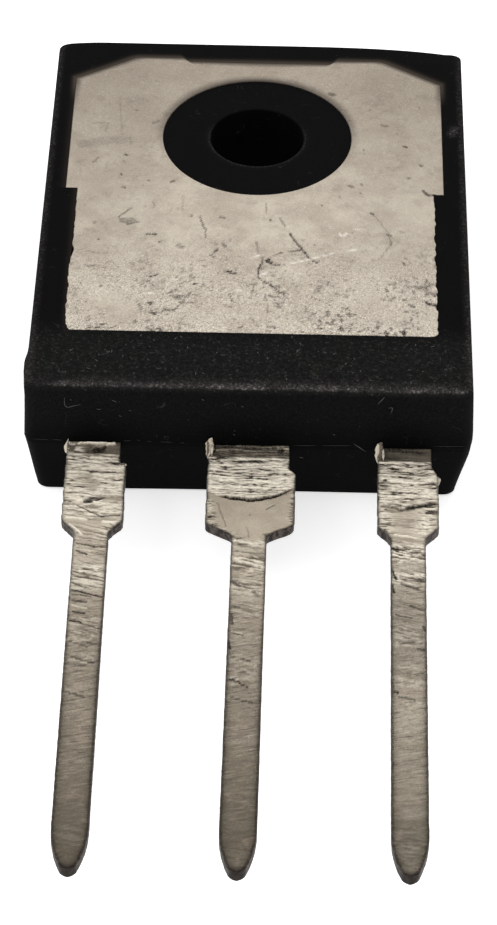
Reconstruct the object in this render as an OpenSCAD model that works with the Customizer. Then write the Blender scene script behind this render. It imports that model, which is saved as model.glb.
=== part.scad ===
// Three-lead power transistor in a flat moulded package with a bare metal back.
// Millimetres. It lies on its plain front face: +Z is the metal back, the leads
// point to -Y and the axis of the mounting hole is the Z axis.

/* [Moulded body] */
// Width at the parting line
body_w = 15.8; // [14.5:0.1:20]
// Length at the parting line, without the leads
body_l = 20.85; // [19:0.05:28]
// Thickness from the front face to the metal back
body_t = 5.0; // [4.4:0.1:7]
// Height of the parting line above the front face
parting_z = 2.6; // [2:0.1:3.2]
// Draft of all four walls of the back half, degrees
back_draft = 3; // [0:0.5:6]
// Draft of the long walls of the front half, degrees
side_draft = 13.4; // [0:0.2:18]
// Draft of the end walls of the front half, degrees
end_draft = 9; // [0:0.5:15]
// Radius of the upright corners
corner_r = 0.4; // [0.1:0.1:1.5]
// Radius of the half-round notches in the long sides of the front half
notch_r = 1.8; // [1:0.1:2.4]
// Depth of the notches from the front face
notch_depth = 2.0; // [0.5:0.1:2.2]

/* [Mounting hole] */
// Diameter of the hole
hole_d = 3.5; // [2.8:0.1:4.2]
// Hole axis to the free end of the body
hole_to_end = 6.1; // [5.5:0.1:8]
// Outer diameter of the moulded sleeve that lines the metal
sleeve_d = 7.1; // [6:0.1:8]
// How far the sleeve stays below the metal back
sleeve_recess = 0.08; // [0.02:0.01:0.3]

/* [Heat spreader] */
// Thickness of the copper tab
tab_t = 2.0; // [1.2:0.1:2.2]
// Plastic beside each ear of the tab
tab_side = 0.925; // [0.8:0.025:2]
// How much narrower the bare pad is below the ears, on each side
ear_step = 0.375; // [0.1:0.025:1.5]
// Plastic between the tab's top edge and the free end of the body
tab_cover = 1.15; // [0.9:0.05:1.7]
// Lower end of the ears below the hole axis
ear_end = 3.35; // [2:0.05:6]
// Plastic between the pad's lower edge and the lead end of the body
pad_cover = 3.25; // [2.8:0.05:4]
// How far the buried lip reaches past the pad's lower edge
lip_l = 0.45; // [0.1:0.05:0.6]
// Thickness of the buried lip and of the wide front layer
lip_t = 1.3; // [0.7:0.1:1.6]
// Length of the straight top edge between the corner cuts
shoulder_w = 9.5; // [8:0.1:12]
// Height of the corner cuts
shoulder_drop = 1.45; // [0.5:0.05:2.5]
// Radius where the top edge runs into a corner cut
shoulder_r = 0.9; // [0.2:0.1:1.5]
// Width of the shallow step in the middle of the top edge
step_w = 5.5; // [3:0.1:7]
// Depth of that step
step_d = 0.23; // [0.05:0.01:0.4]
// Depth of the anchor groove between the hole and the chip
groove_d = 0.2; // [0.05:0.05:0.3]

/* [Leads] */
// Distance between neighbouring leads
pitch = 5.45; // [5:0.05:5.6]
// How far the three leads sit towards +X from the middle of the body
lead_offset = 0.15; // [-0.25:0.05:0.25]
// Length from the body to the tip
lead_l = 19.8; // [8:0.1:26]
// Thickness of the lead strip
lead_t = 0.45; // [0.4:0.05:0.8]
// Width of the thin part
lead_w = 1.2; // [0.8:0.05:1.5]
// Width of the outer leads next to the body
outer_w = 2.1; // [1.6:0.05:2.6]
// Width of the centre lead next to the body
centre_w = 3.06; // [2.2:0.02:3.4]
// Length of the wide part
wide_l = 3.9; // [2:0.1:6]
// Length of the slope between wide and thin part
slope_l = 0.78; // [0.3:0.02:2]
// Radius of the long curves that close the tip
tip_curve_r = 4.2; // [2:0.1:8]
// Radius of the nose
nose_r = 0.32; // [0.1:0.01:0.4]
// Lean of the gate, drain and source lead towards +X, degrees
lead_lean = [0.3, -0.25, -0.4]; // [-2:0.05:2]
// Length trimmed narrower beside the body on the -X side: gate, drain, source
neck_left = [0.1, 0.45, 0.5]; // [0.1:0.05:2]
// Length trimmed narrower beside the body on the +X side: gate, drain, source
neck_right = [1.1, 1.35, 1.2]; // [0.1:0.05:2]
// How much each trimmed side is cut back
neck_cut = 0.22; // [0.05:0.01:0.35]
// Steepness of the drain lead's step down from the tab, degrees
bend = 45; // [30:1:60]

/* [Stake] */
// Length of the drain lead's end that lies on the tab
lap_l = 1.8; // [1.7:0.1:2]
// Diameter of the stake that holds it
stake_d = 1.1; // [0.8:0.1:1.4]
// Diameter of the stake's flattened head
stake_head_d = 1.6; // [1.5:0.1:1.8]
// Thickness of that head
stake_head_t = 0.15; // [0.1:0.05:0.3]

/* [Bond posts] */
// Width of the gate post inside the body
gate_post_w = 2.6; // [2.2:0.1:3]
// Plastic between the source post and the drain lead
post_gap = 0.82; // [0.6:0.02:1.2]
// Length of both posts along the leads
post_l = 1.6; // [1:0.1:1.8]
// Plastic between the posts and the end wall
post_cover = 0.75; // [0.5:0.05:0.9]
// Plastic between the posts and the long walls at the parting line
post_side = 0.95; // [0.6:0.05:1.2]

/* [Chip] */
// Width of the chip
die_w = 6.6; // [3:0.1:9]
// Thickness of the chip
die_t = 0.3; // [0.1:0.01:0.4]
// Hole axis to the chip's near edge
die_offset = 4.5; // [4.3:0.1:5.5]
// Bare tab between the chip's far edge and the drain lead
die_gap = 0.45; // [0.45:0.05:1.5]
// Thickness of the solder under the chip
solder_t = 0.06; // [0.02:0.01:0.1]
// Solder seen round the chip
solder_margin = 0.2; // [0.05:0.05:0.4]

/* [Bond wires] */
// Diameter of the gate wire
gate_wire_d = 0.2; // [0.1:0.05:0.3]
// Diameter of each source wire
source_wire_d = 0.5; // [0.3:0.05:0.5]
// Number of source wires
source_wires = 3; // [1:1:3]
// Distance between the source wires on the chip
wire_step = 1.4; // [0.8:0.1:1.5]
// Distance from the outer source wires to the edges of the post
wire_edge = 0.9; // [0.5:0.1:1.2]
// Rise of the gate wire's loop
gate_loop = 0.95; // [0.6:0.05:1.1]
// Rise of the source wires' loops
source_loop = 1.15; // [0.8:0.05:1.2]

/* [Hidden] */
$fn = 64;
over = 1;
arc_steps = 6;
end_y = hole_to_end - body_l;
tab_w = body_w - 2 * tab_side;
tab_top = hole_to_end - tab_cover;
pad_w = tab_w - 2 * ear_step;
pad_end = -end_y - pad_cover;
lead_z = parting_z - lead_t;
tab_z = body_t - tab_t;
tab_end_y = -pad_end - lip_l;
die_z = tab_z - solder_t - die_t;
die_l = -tab_end_y - lap_l - die_gap - die_offset;
stake_y = tab_end_y + lap_l / 2;
step_y = tab_end_y - 0.45;
step_run = (tab_z - parting_z) / tan(bend);
step_flat = 0.8;
bend_shift = lead_t * tan(bend / 2);
post_out = end_y + post_cover;
bond_y = post_out + post_l / 2;
gate_bond = [-die_w / 2 + 0.5, -die_offset - die_l + 0.5];
source_bond_y = -die_offset - die_l / 2 - 0.8;
gate_post_x = -body_w / 2 + post_side + gate_post_w / 2;
source_post_w = body_w / 2 - post_side - post_gap - centre_w / 2 - lead_offset;
source_post_x = body_w / 2 - post_side - source_post_w / 2;
post_step = (source_post_w - 2 * wire_edge) / max(source_wires - 1, 1);
tip_rise = sqrt(pow(tip_curve_r - nose_r, 2) - pow(tip_curve_r - lead_w / 2, 2));
tip_start = lead_l - nose_r - tip_rise;
tip_turn = atan2(tip_rise, tip_curve_r - lead_w / 2);

// Points of an arc round [cx, cy]
function arc(cx, cy, r, from, to, steps = arc_steps) = [
    for (i = [0 : steps])
        let (a = from + (to - from) * i / steps)
        [cx + r * cos(a), cy + r * sin(a)]
];

// Same points without repeated neighbours
function distinct(points) = [
    for (i = [0 : len(points) - 1])
        if (norm(points[i] - points[(i + 1) % len(points)]) > 0.001) points[i]
];

// Points in reverse order, mirrored to the other side
function mirrored(points) = [
    for (i = [len(points) - 1 : -1 : 0]) [-points[i].x, points[i].y]
];

// Rounded outline of the body, pulled in by dx at the sides and dy at the ends
function body_outline(dx, dy) =
    let (
        x = body_w / 2 - dx - corner_r,
        top = hole_to_end - dy - corner_r,
        bottom = end_y + dy + corner_r
    )
    concat(
        arc(x, top, corner_r, 0, 90),
        arc(-x, top, corner_r, 90, 180),
        arc(-x, bottom, corner_r, 180, 270),
        arc(x, bottom, corner_r, 270, 360)
    );

// Closed solid through outlines with equally many points, one above the other
module loft(outlines, heights) {
    n = len(outlines[0]);
    levels = len(outlines);
    points = [for (k = [0 : levels - 1]) for (p = outlines[k]) [p.x, p.y, heights[k]]];
    walls = [
        for (k = [0 : levels - 2]) for (i = [0 : n - 1])
            let (j = (i + 1) % n)
            [k * n + i, (k + 1) * n + i, (k + 1) * n + j, k * n + j]
    ];
    floor_face = [for (i = [0 : n - 1]) i];
    roof_face = [for (i = [n - 1 : -1 : 0]) (levels - 1) * n + i];
    polyhedron(points, concat([floor_face, roof_face], walls));
}

// Two drafted halves that meet at the parting line
module mould_shape() {
    back_in = (body_t - parting_z) * tan(back_draft);
    side_in = parting_z * tan(side_draft);
    end_in = parting_z * tan(end_draft);
    loft(
        [body_outline(side_in, end_in), body_outline(0, 0), body_outline(back_in, back_in)],
        [0, parting_z, body_t]
    );
}

module moulded_body() {
    color("#1b1b1c")
    difference() {
        mould_shape();
        heat_spreader_tab();
        drain_lead();
        gate_lead();
        source_lead();
        die_attach_solder();
        silicon_chip();
        gate_bond_wire();
        source_bond_wires();
        translate([0, 0, -over]) cylinder(d = hole_d, h = body_t + 2 * over);
        translate([0, 0, body_t - sleeve_recess]) cylinder(d = sleeve_d, h = over);
        for (side = [-1, 1])
            translate([side * body_w / 2, 0, -over]) cylinder(r = notch_r, h = notch_depth + over);
    }
}

// Outline of the tab: stepped top edge, cut corners, then ears where it gets narrower
module tab_outline(below_w, end) {
    cut = atan2(shoulder_drop, (tab_w - shoulder_w) / 2);
    bow = arc(shoulder_w / 2 - shoulder_r * tan(cut / 2), tab_top - shoulder_r, shoulder_r, 90, 90 - cut);
    right = concat(
        [[step_w / 2, tab_top - step_d], [step_w / 2 + step_d, tab_top]],
        bow,
        [
            [tab_w / 2, tab_top - shoulder_drop],
            [tab_w / 2, -ear_end],
            [below_w / 2, -ear_end],
            [below_w / 2, -end]
        ]
    );
    polygon(distinct(concat(right, mirrored(right))));
}

// Thick stamped plate: the back layer is the bare pad, the front layer is wider,
// and a stake on its front passes through the drain lead
module heat_spreader_tab() {
    color("#b7ab9c")
    difference() {
        union() {
            translate([0, 0, tab_z]) linear_extrude(lip_t) tab_outline(tab_w, pad_end + lip_l);
            translate([0, 0, tab_z]) linear_extrude(tab_t) tab_outline(pad_w, pad_end);
            translate([lead_offset, stake_y, tab_z - lead_t])
                cylinder(d = stake_d, h = lead_t + lip_t / 2);
            translate([lead_offset, stake_y, tab_z - lead_t - stake_head_t])
                cylinder(d = stake_head_d, h = stake_head_t);
        }
        translate([0, 0, tab_z - over]) cylinder(d = sleeve_d, h = tab_t + 2 * over);
        translate([-tab_w / 2 - over, 0, tab_z]) rotate([90, 0, 90])
            linear_extrude(tab_w + 2 * over)
                polygon([
                    [-sleeve_d / 2 - groove_d, -over],
                    [-sleeve_d / 2 - groove_d, 0],
                    [-sleeve_d / 2 - 2 * groove_d, groove_d],
                    [-sleeve_d / 2 - 3 * groove_d, 0],
                    [-sleeve_d / 2 - 3 * groove_d, -over]
                ]);
    }
}

// Side view of the drain lead's inner end: flat on the tab, then a step down
module drain_lap() {
    side = [
        [tab_end_y + lap_l, tab_z - lead_t],
        [step_y + bend_shift, tab_z - lead_t],
        [step_y + bend_shift - step_run, lead_z],
        [step_y - step_run - step_flat, lead_z],
        [step_y - step_run - step_flat, parting_z],
        [step_y - step_run, parting_z],
        [step_y, tab_z],
        [tab_end_y + lap_l, tab_z]
    ];
    translate([lead_offset - centre_w / 2, 0, 0])
        rotate([90, 0, 90]) linear_extrude(centre_w) polygon(side);
}

module drain_lead() {
    root_y = step_y - step_run - step_flat / 2;
    left = lead_offset - centre_w / 2;
    color("#b9b1a3")
    difference() {
        union() {
            drain_lap();
            lead_strip(1, centre_w, [[left, root_y], [left + centre_w, root_y]]);
        }
        translate([lead_offset, stake_y, tab_z - lead_t - over])
            cylinder(d = stake_d, h = lead_t + 2 * over);
    }
}

// Right half of a tip: long closing curve, then the nose; x across, y down the lead
function tip_half() = concat(
    arc(lead_w / 2 - tip_curve_r, tip_start, tip_curve_r, 0, tip_turn),
    arc(0, lead_l - nose_r, nose_r, tip_turn, 90)
);

// Right side of a lead from inside the body to the tip
function lead_side(w, neck) = concat(
    [
        [w / 2, -0.35],
        [w / 2 - neck_cut, -0.25],
        [w / 2 - neck_cut, neck - neck_cut / 2],
        [w / 2, neck + neck_cut / 2]
    ],
    [
        for (i = [0 : arc_steps])
            let (t = i / arc_steps)
            [lead_w / 2 + (w - lead_w) / 2 * (1 + cos(180 * t)) / 2, wide_l + slope_l * t]
    ],
    tip_half()
);

// Flat strip of one lead; inner holds its points inside the body, from left to right
module lead_strip(i, w, inner) {
    x = lead_offset + (i - 1) * pitch;
    outside = concat(lead_side(w, neck_right[i]), mirrored(lead_side(w, neck_left[i])));
    leaning = [for (p = outside) [x + p.x + max(p.y, 0) * tan(lead_lean[i]), end_y - p.y]];
    translate([0, 0, lead_z]) linear_extrude(lead_t) polygon(distinct(concat(inner, leaning)));
}

// Post that widens lead i inside the body, going round from left to right
function post(x, w, i) =
    let (lead_x = lead_offset + (i - 1) * pitch)
    [
        [lead_x - outer_w / 2, post_out],
        [x - w / 2, post_out],
        [x - w / 2, post_out + post_l],
        [x + w / 2, post_out + post_l],
        [x + w / 2, post_out],
        [lead_x + outer_w / 2, post_out]
    ];

module gate_lead() {
    color("#b9b1a3") lead_strip(0, outer_w, post(gate_post_x, gate_post_w, 0));
}

module source_lead() {
    color("#b9b1a3") lead_strip(2, outer_w, post(source_post_x, source_post_w, 2));
}

module die_attach_solder() {
    color("#9fa2a6")
    translate([-die_w / 2 - solder_margin, -die_offset - die_l - solder_margin, tab_z - solder_t])
        cube([die_w + 2 * solder_margin, die_l + 2 * solder_margin, solder_t]);
}

module silicon_chip() {
    color("#4a4f58")
    translate([-die_w / 2, -die_offset - die_l, die_z]) cube([die_w, die_l, die_t]);
}

// Arched wire from the chip at a to a post at b, with a squashed foot at each end
module bond_wire(a, b, d, loop) {
    run = norm(b - a);
    drop = die_z - lead_z;
    chord = norm([run, drop]);
    r = (chord * chord / 4 + loop * loop) / (2 * loop);
    half = asin(chord / 2 / r);
    foot = [2.2 * d, 1.4 * d, 0.7 * d];
    translate([a.x, a.y, die_z]) rotate([0, 0, atan2(b.y - a.y, b.x - a.x)]) {
        difference() {
            rotate([0, atan2(drop, run), 0]) rotate([-90, 0, 0])
                translate([chord / 2, loop - r, 0]) rotate([0, 0, 90 - half])
                    rotate_extrude(angle = 2 * half) translate([r, 0]) circle(d = d, $fn = 12);
            translate([-over, -over, 0]) cube([run + 2 * over, 2 * over, 2 * over]);
            translate([run - 2 * d, -over, -drop]) cube([2 * over + 2 * d, 2 * over, 2 * over]);
        }
        translate([-foot.x / 2, -foot.y / 2, -foot.z]) cube(foot);
        translate([run - foot.x / 2, -foot.y / 2, -drop - foot.z]) cube(foot);
    }
}

module gate_bond_wire() {
    color("#c9ccd0") bond_wire(gate_bond, [gate_post_x, bond_y], gate_wire_d, gate_loop);
}

module source_bond_wires() {
    color("#c9ccd0")
    for (i = [0 : source_wires - 1]) {
        k = i - (source_wires - 1) / 2;
        from = [1 + k * wire_step, source_bond_y];
        to = [source_post_x + k * post_step, bond_y];
        bond_wire(from, to, source_wire_d, source_loop);
    }
}

moulded_body();
heat_spreader_tab();
drain_lead();
gate_lead();
source_lead();
die_attach_solder();
silicon_chip();
gate_bond_wire();
source_bond_wires();
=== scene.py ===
"""A three-lead power transistor lying on its front face, dressed for the photograph's view.

Shapes are worked out in millimetres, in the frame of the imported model: +Z is the bare metal
back, -Y is the way the leads point, and the mounting hole's axis is the Z axis.
"""

import bpy
import numpy as np
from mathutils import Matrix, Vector


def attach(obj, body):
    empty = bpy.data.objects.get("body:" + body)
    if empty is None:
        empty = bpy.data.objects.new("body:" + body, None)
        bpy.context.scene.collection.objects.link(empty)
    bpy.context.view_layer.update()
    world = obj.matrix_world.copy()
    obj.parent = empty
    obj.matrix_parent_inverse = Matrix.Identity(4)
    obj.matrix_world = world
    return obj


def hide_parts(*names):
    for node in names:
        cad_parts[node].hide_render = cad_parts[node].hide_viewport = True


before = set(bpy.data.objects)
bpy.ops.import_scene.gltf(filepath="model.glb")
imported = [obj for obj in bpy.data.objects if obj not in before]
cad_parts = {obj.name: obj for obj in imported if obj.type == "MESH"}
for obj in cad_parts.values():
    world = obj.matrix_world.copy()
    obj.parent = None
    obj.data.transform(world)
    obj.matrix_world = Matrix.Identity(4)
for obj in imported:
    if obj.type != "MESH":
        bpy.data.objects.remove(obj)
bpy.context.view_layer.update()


# ---- Heat spreader tab -------------------------------------------------------------------------
# Stamped copper plate, 2 mm thick and tin plated. Its back layer is the bare pad; the front layer
# is wider and is gripped by the compound, and the moulded sleeve goes through its hole. The
# plating is dull and pitted, and grainiest towards the leads, where the part has been rubbed.

MM = 0.001
CORE = np.array([0.0, -3.0])
SLEEVE_R = 3.55


def grain(x, y, across, along, seed):
    """Random relief from -1 to 1: values at the corners of cells sized across by along,
    joined inside a cell by the cubic 3t^2 - 2t^3 in both directions."""
    table = np.random.default_rng(seed).uniform(-1, 1, (256, 256))
    u, v = np.asarray(x) / across + 90, np.asarray(y) / along + 90
    i, j = np.floor(u).astype(int), np.floor(v).astype(int)
    s, t = u - i, v - j
    s, t = s * s * (3 - 2 * s), t * t * (3 - 2 * t)
    near = table[i % 256, j % 256] * (1 - s) + table[(i + 1) % 256, j % 256] * s
    far = table[i % 256, (j + 1) % 256] * (1 - s) + table[(i + 1) % 256, (j + 1) % 256] * s
    return near * (1 - t) + far * t


def ease(value, low, high):
    """0 up to low, 1 from high on, and the cubic 3t^2 - 2t^3 between them."""
    t = np.clip((value - low) / (high - low), 0, 1)
    return t * t * (3 - 2 * t)


def stroke(x, y, path, width):
    """Mark along a path of straight stretches: exp(-(d / width)^2), with d the distance
    from a point to the nearest stretch."""
    mark = np.zeros(np.broadcast(x, y).shape)
    for (x0, y0), (x1, y1) in zip(path[:-1], path[1:]):
        run, rise = x1 - x0, y1 - y0
        t = np.clip(((x - x0) * run + (y - y0) * rise) / (run * run + rise * rise), 0, 1)
        squared = (x - x0 - t * run) ** 2 + (y - y0 - t * rise) ** 2
        mark = np.maximum(mark, np.exp(-squared / width ** 2))
    return mark


def jolted(x, y, seed, reach=1.0):
    """Places pushed about at random, by up to reach * 0.07 mm, so that a mark drawn there
    is ragged: a broad grain and a finer one are added in both directions."""
    return (x + reach * (0.045 * grain(x, y, 0.22, 0.22, seed) + 0.025 * grain(x, y, 0.08, 0.08, seed + 1)),
            y + reach * (0.045 * grain(x, y, 0.22, 0.22, seed + 2) + 0.025 * grain(x, y, 0.08, 0.08, seed + 3)))


def incised(x, y, height, soil, cuts, depth):
    """Height and soil after cuts: each is a path, its width and how dark it is."""
    for path, width, dark in cuts:
        mark = dark * ease(stroke(x, y, path, width), 0.12, 0.75)
        height = height - depth * mark
        soil = np.maximum(soil, mark)
    return height, soil


def walk(corners, step):
    """Points along the sides of a polygon, its corners among them, at most a step apart."""
    ends = np.roll(corners, -1, axis=0)
    counts = np.maximum(1, np.ceil(np.linalg.norm(ends - corners, axis=1) / step)).astype(int)
    return np.vstack([a + (b - a) * (np.arange(n) / n)[:, None]
                      for a, b, n in zip(corners, ends, counts)])


def bearings(*point_sets):
    """Sorted angles at which points are seen from the core, without near repeats."""
    offsets = np.vstack(point_sets) - CORE
    angles = np.sort(np.arctan2(offsets[:, 1], offsets[:, 0]))
    return angles[np.append(True, np.diff(angles) > 2e-4)]


def hits(angles, corners):
    """Where rays from the core cross a polygon: core + t * ray = a + s * side is solved for
    every ray and side, and the smallest t whose s lies on its side is kept."""
    rays = np.stack([np.cos(angles), np.sin(angles)], axis=1)[:, None]
    a = (corners - CORE)[None]
    side = np.roll(corners, -1, axis=0)[None] - corners[None]
    cross = rays[..., 0] * side[..., 1] - rays[..., 1] * side[..., 0]
    cross = np.where(np.abs(cross) < 1e-12, 1e-12, cross)
    t = (a[..., 0] * side[..., 1] - a[..., 1] * side[..., 0]) / cross
    s = (a[..., 0] * rays[..., 1] - a[..., 1] * rays[..., 0]) / cross
    t = np.where((s > -1e-6) & (s < 1 + 1e-6) & (t > 0), t, np.inf).min(axis=1)
    return CORE + rays[:, 0] * t[:, None]


def skin(name, shells, marks=(), sharp=None):
    """One mesh from closed shells. A shell is an array of points (rows, columns, 3) in
    millimetres: every row closes on itself, neighbouring rows are joined, and the last row
    joins the first (torus) or both end rows get a cap. If the signed volume, the sum of
    p0 . (p1 x p2) / 6, is negative, the shell's faces are turned round."""
    points, faces, start = [], [], 0
    for grid, torus in shells:
        rows, columns = grid.shape[:2]
        flat = grid.reshape(-1, 3)
        row = np.arange(rows if torus else rows - 1)[:, None]
        column = np.arange(columns)[None]
        here, beside = row * columns, (row + 1) % rows * columns
        turn = (column + 1) % columns
        quads = np.stack([here + column, here + turn, beside + turn, beside + column], -1)
        quads = quads.reshape(-1, 4)
        p = [flat[quads[:, k]] for k in range(4)]
        volume = sum(np.einsum("ij,ij->i", a, np.cross(b, c)).sum()
                     for a, b, c in ((p[0], p[1], p[2]), (p[0], p[2], p[3])))
        caps = [] if torus else [np.arange(columns)[::-1], np.arange(columns) + (rows - 1) * columns]
        if volume < 0:
            quads, caps = quads[:, ::-1], [cap[::-1] for cap in caps]
        faces += (quads + start).tolist() + [(cap + start).tolist() for cap in caps]
        points.append(flat)
        start += len(flat)
    mesh = bpy.data.meshes.new(name)
    mesh.from_pydata(np.vstack(points) * MM, [], faces)
    mesh.polygons.foreach_set("use_smooth", np.ones(len(faces), bool))
    if sharp is not None:
        mesh.set_sharp_from_angle(angle=np.radians(sharp))
    for mark, values in dict(marks).items():
        layer = mesh.attributes.new(mark, "FLOAT", "POINT")
        layer.data.foreach_set("value", np.concatenate([v.ravel() for v in values]).astype("f4"))
    mesh.update()
    piece = bpy.data.objects.new(name, mesh)
    bpy.context.scene.collection.objects.link(piece)
    return piece


class Value:
    """A shader socket in a sum: each operator adds one Math node and stands for its result."""

    def __init__(self, finish, socket):
        self.finish, self.socket = finish, socket

    def math(self, operation, a, b):
        return self.finish.node("ShaderNodeMath", {"operation": operation}, {0: a, 1: b})

    def __add__(self, other):
        return self.math("ADD", self, other)

    def __radd__(self, other):
        return self.math("ADD", other, self)

    def __sub__(self, other):
        return self.math("SUBTRACT", self, other)

    def __rsub__(self, other):
        return self.math("SUBTRACT", other, self)

    def __mul__(self, other):
        return self.math("MULTIPLY", self, other)

    def __rmul__(self, other):
        return self.math("MULTIPLY", other, self)

    def __abs__(self):
        return self.math("ABSOLUTE", self, 0)


class Finish:
    """One material round a Principled shader, with constants set on the shader's own sockets.
    Patterns are in millimetres: place is the Object coordinate times 1000."""

    def __init__(self, name, **constants):
        self.material = bpy.data.materials.new(name)
        self.material.use_nodes = True
        self.tree = self.material.node_tree
        self.shader = self.tree.nodes["Principled BSDF"]
        for socket, value in constants.items():
            self.shader.inputs[socket.replace("_", " ")].default_value = value
        spot = self.node("ShaderNodeTexCoord", output="Object")
        self.place = self.node("ShaderNodeVectorMath", {"operation": "SCALE"}, {0: spot, "Scale": 1000})

    def node(self, kind, settings=None, sockets=None, output=0):
        """Adds a node: its settings first, then the values or links of its sockets."""
        made = self.tree.nodes.new(kind)
        for name, value in (settings or {}).items():
            if name == "stops":
                ramp = made.color_ramp.elements
                for stop, (position, colour) in zip([ramp[0], ramp[1]], value):
                    stop.position, stop.color = position, (*colour, 1)
                for position, colour in value[2:]:
                    ramp.new(position).color = (*colour, 1)
            else:
                setattr(made, name, value)
        for name, value in (sockets or {}).items():
            self.join(value, made.inputs[name])
        return Value(self, made.outputs[output])

    def join(self, value, socket):
        if isinstance(value, Value):
            self.tree.links.new(value.socket, socket)
        else:
            socket.default_value = value

    def stretched(self, sizes, turn=0.0):
        """Place divided by a cell size for each direction, after a turn about Z in degrees."""
        turned = self.node("ShaderNodeMapping", {}, {
            "Vector": self.place, "Rotation": (0, 0, np.radians(turn))})
        return self.node("ShaderNodeVectorMath", {"operation": "DIVIDE"}, {0: turned, 1: sizes})

    def noise(self, cell, detail=3.0, roughness=0.55, where=None, twist=0.0):
        return self.node("ShaderNodeTexNoise", {}, {
            "Vector": self.place if where is None else where, "Scale": 1 / cell,
            "Detail": detail, "Roughness": roughness, "Distortion": twist})

    def cells(self, cell, where=None, output="Distance"):
        return self.node("ShaderNodeTexVoronoi", {}, {
            "Vector": self.place if where is None else where, "Scale": 1 / cell}, output)

    def ease(self, value, low, high):
        """0 at low, 1 at high, smooth between them; low may be the larger of the two."""
        return self.node("ShaderNodeMapRange", {"interpolation_type": "SMOOTHSTEP"}, {
            "Value": value, "From Min": low, "From Max": high})

    def mix(self, factor, a, b):
        """The colour a where the factor is 0 and b where it is 1."""
        a, b = (c if isinstance(c, Value) else (*c, 1) for c in (a, b))
        return self.node("ShaderNodeMix", {"data_type": "RGBA"}, {0: factor, 6: a, 7: b}, 2)

    def mark(self, name):
        """A mark worked out with the shape and kept in the mesh."""
        return self.node("ShaderNodeAttribute", {"attribute_name": name}, {}, "Fac")

    def relief(self, height, depth, under=None):
        """Bump whose full height is a depth in millimetres, on top of another bump."""
        sockets = {"Height": height, "Distance": depth * MM}
        if under is not None:
            sockets["Normal"] = under
        return self.node("ShaderNodeBump", {}, sockets)

    def paint(self, **sockets):
        for name, value in sockets.items():
            self.join(value, self.shader.inputs[name.replace("_", " ")])
        return self.material


def plate_outline(half_below, end, corner):
    """Right half from the stepped top edge round the cut corner and the ear to the lower
    corner, then the same points mirrored. corner is the radius of the right lower corner;
    the left one is cut off steeply by the same width."""
    cut = np.arctan2(1.45, 2.225)
    bow = np.linspace(np.pi / 2, np.pi / 2 - cut, 7)
    bow = np.stack([4.75 - 0.9 * np.tan(cut / 2) + 0.9 * np.cos(bow), 4.05 + 0.9 * np.sin(bow)], 1)
    turn = np.linspace(0, -np.pi / 2, 5)
    low = np.stack([half_below - corner + corner * np.cos(turn),
                    -end + corner + corner * np.sin(turn)], 1)
    right = np.vstack([[[2.75, 4.72], [2.98, 4.95]], bow,
                       [[6.975, 3.5], [6.975, -3.35], [half_below, -3.35]]])
    cut = corner * np.array([[0.75, 0.0], [0.22, 1.7], [0.0, 3.6]])
    left = (right * [-1, 1])[::-1]
    left[left[:, 0] < -6.97, 0] -= 0.06
    return np.vstack([right, low, [-half_below, -end] + cut, left])


PAD = plate_outline(6.6, 11.5, 0.22)
PLATE = plate_outline(6.98, 11.95, 0.05)


def ragged(rim):
    """Pad edge as it is: below the ears both sides are broken by small steps and nicks,
    the lower edge is slightly wavy. Two grains along the edge are added to the outline."""
    x, y = rim[:, 0], rim[:, 1]
    side = ease(-y, 3.6, 4.2) * ease(np.abs(x), 6.3, 6.5)
    wander = 0.04 * grain(y, x, 1.4, 9, 3) + 0.035 * grain(y, x, 0.3, 9, 4) + 0.02 * grain(y, x, 0.1, 9, 5)
    nicks = 0.12 * stroke(x, y, [(6.7, -7.05), (6.7, -7.2)], 0.12) \
        + 0.10 * stroke(x, y, [(6.7, -9.8), (6.7, -9.95)], 0.14) \
        + 0.09 * stroke(x, y, [(-6.7, -6.9), (-6.7, -7.0)], 0.16) \
        + 0.08 * stroke(x, y, [(6.7, -5.9), (6.7, -5.95)], 0.1)
    low = ease(-y, 11.2, 11.4) * 0.018 * (grain(x, y, 0.9, 9, 6) + grain(x, y, 0.16, 9, 7))
    return rim + np.stack([np.sign(x) * (side * (wander + 0.02) - nicks), low], 1)


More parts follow.
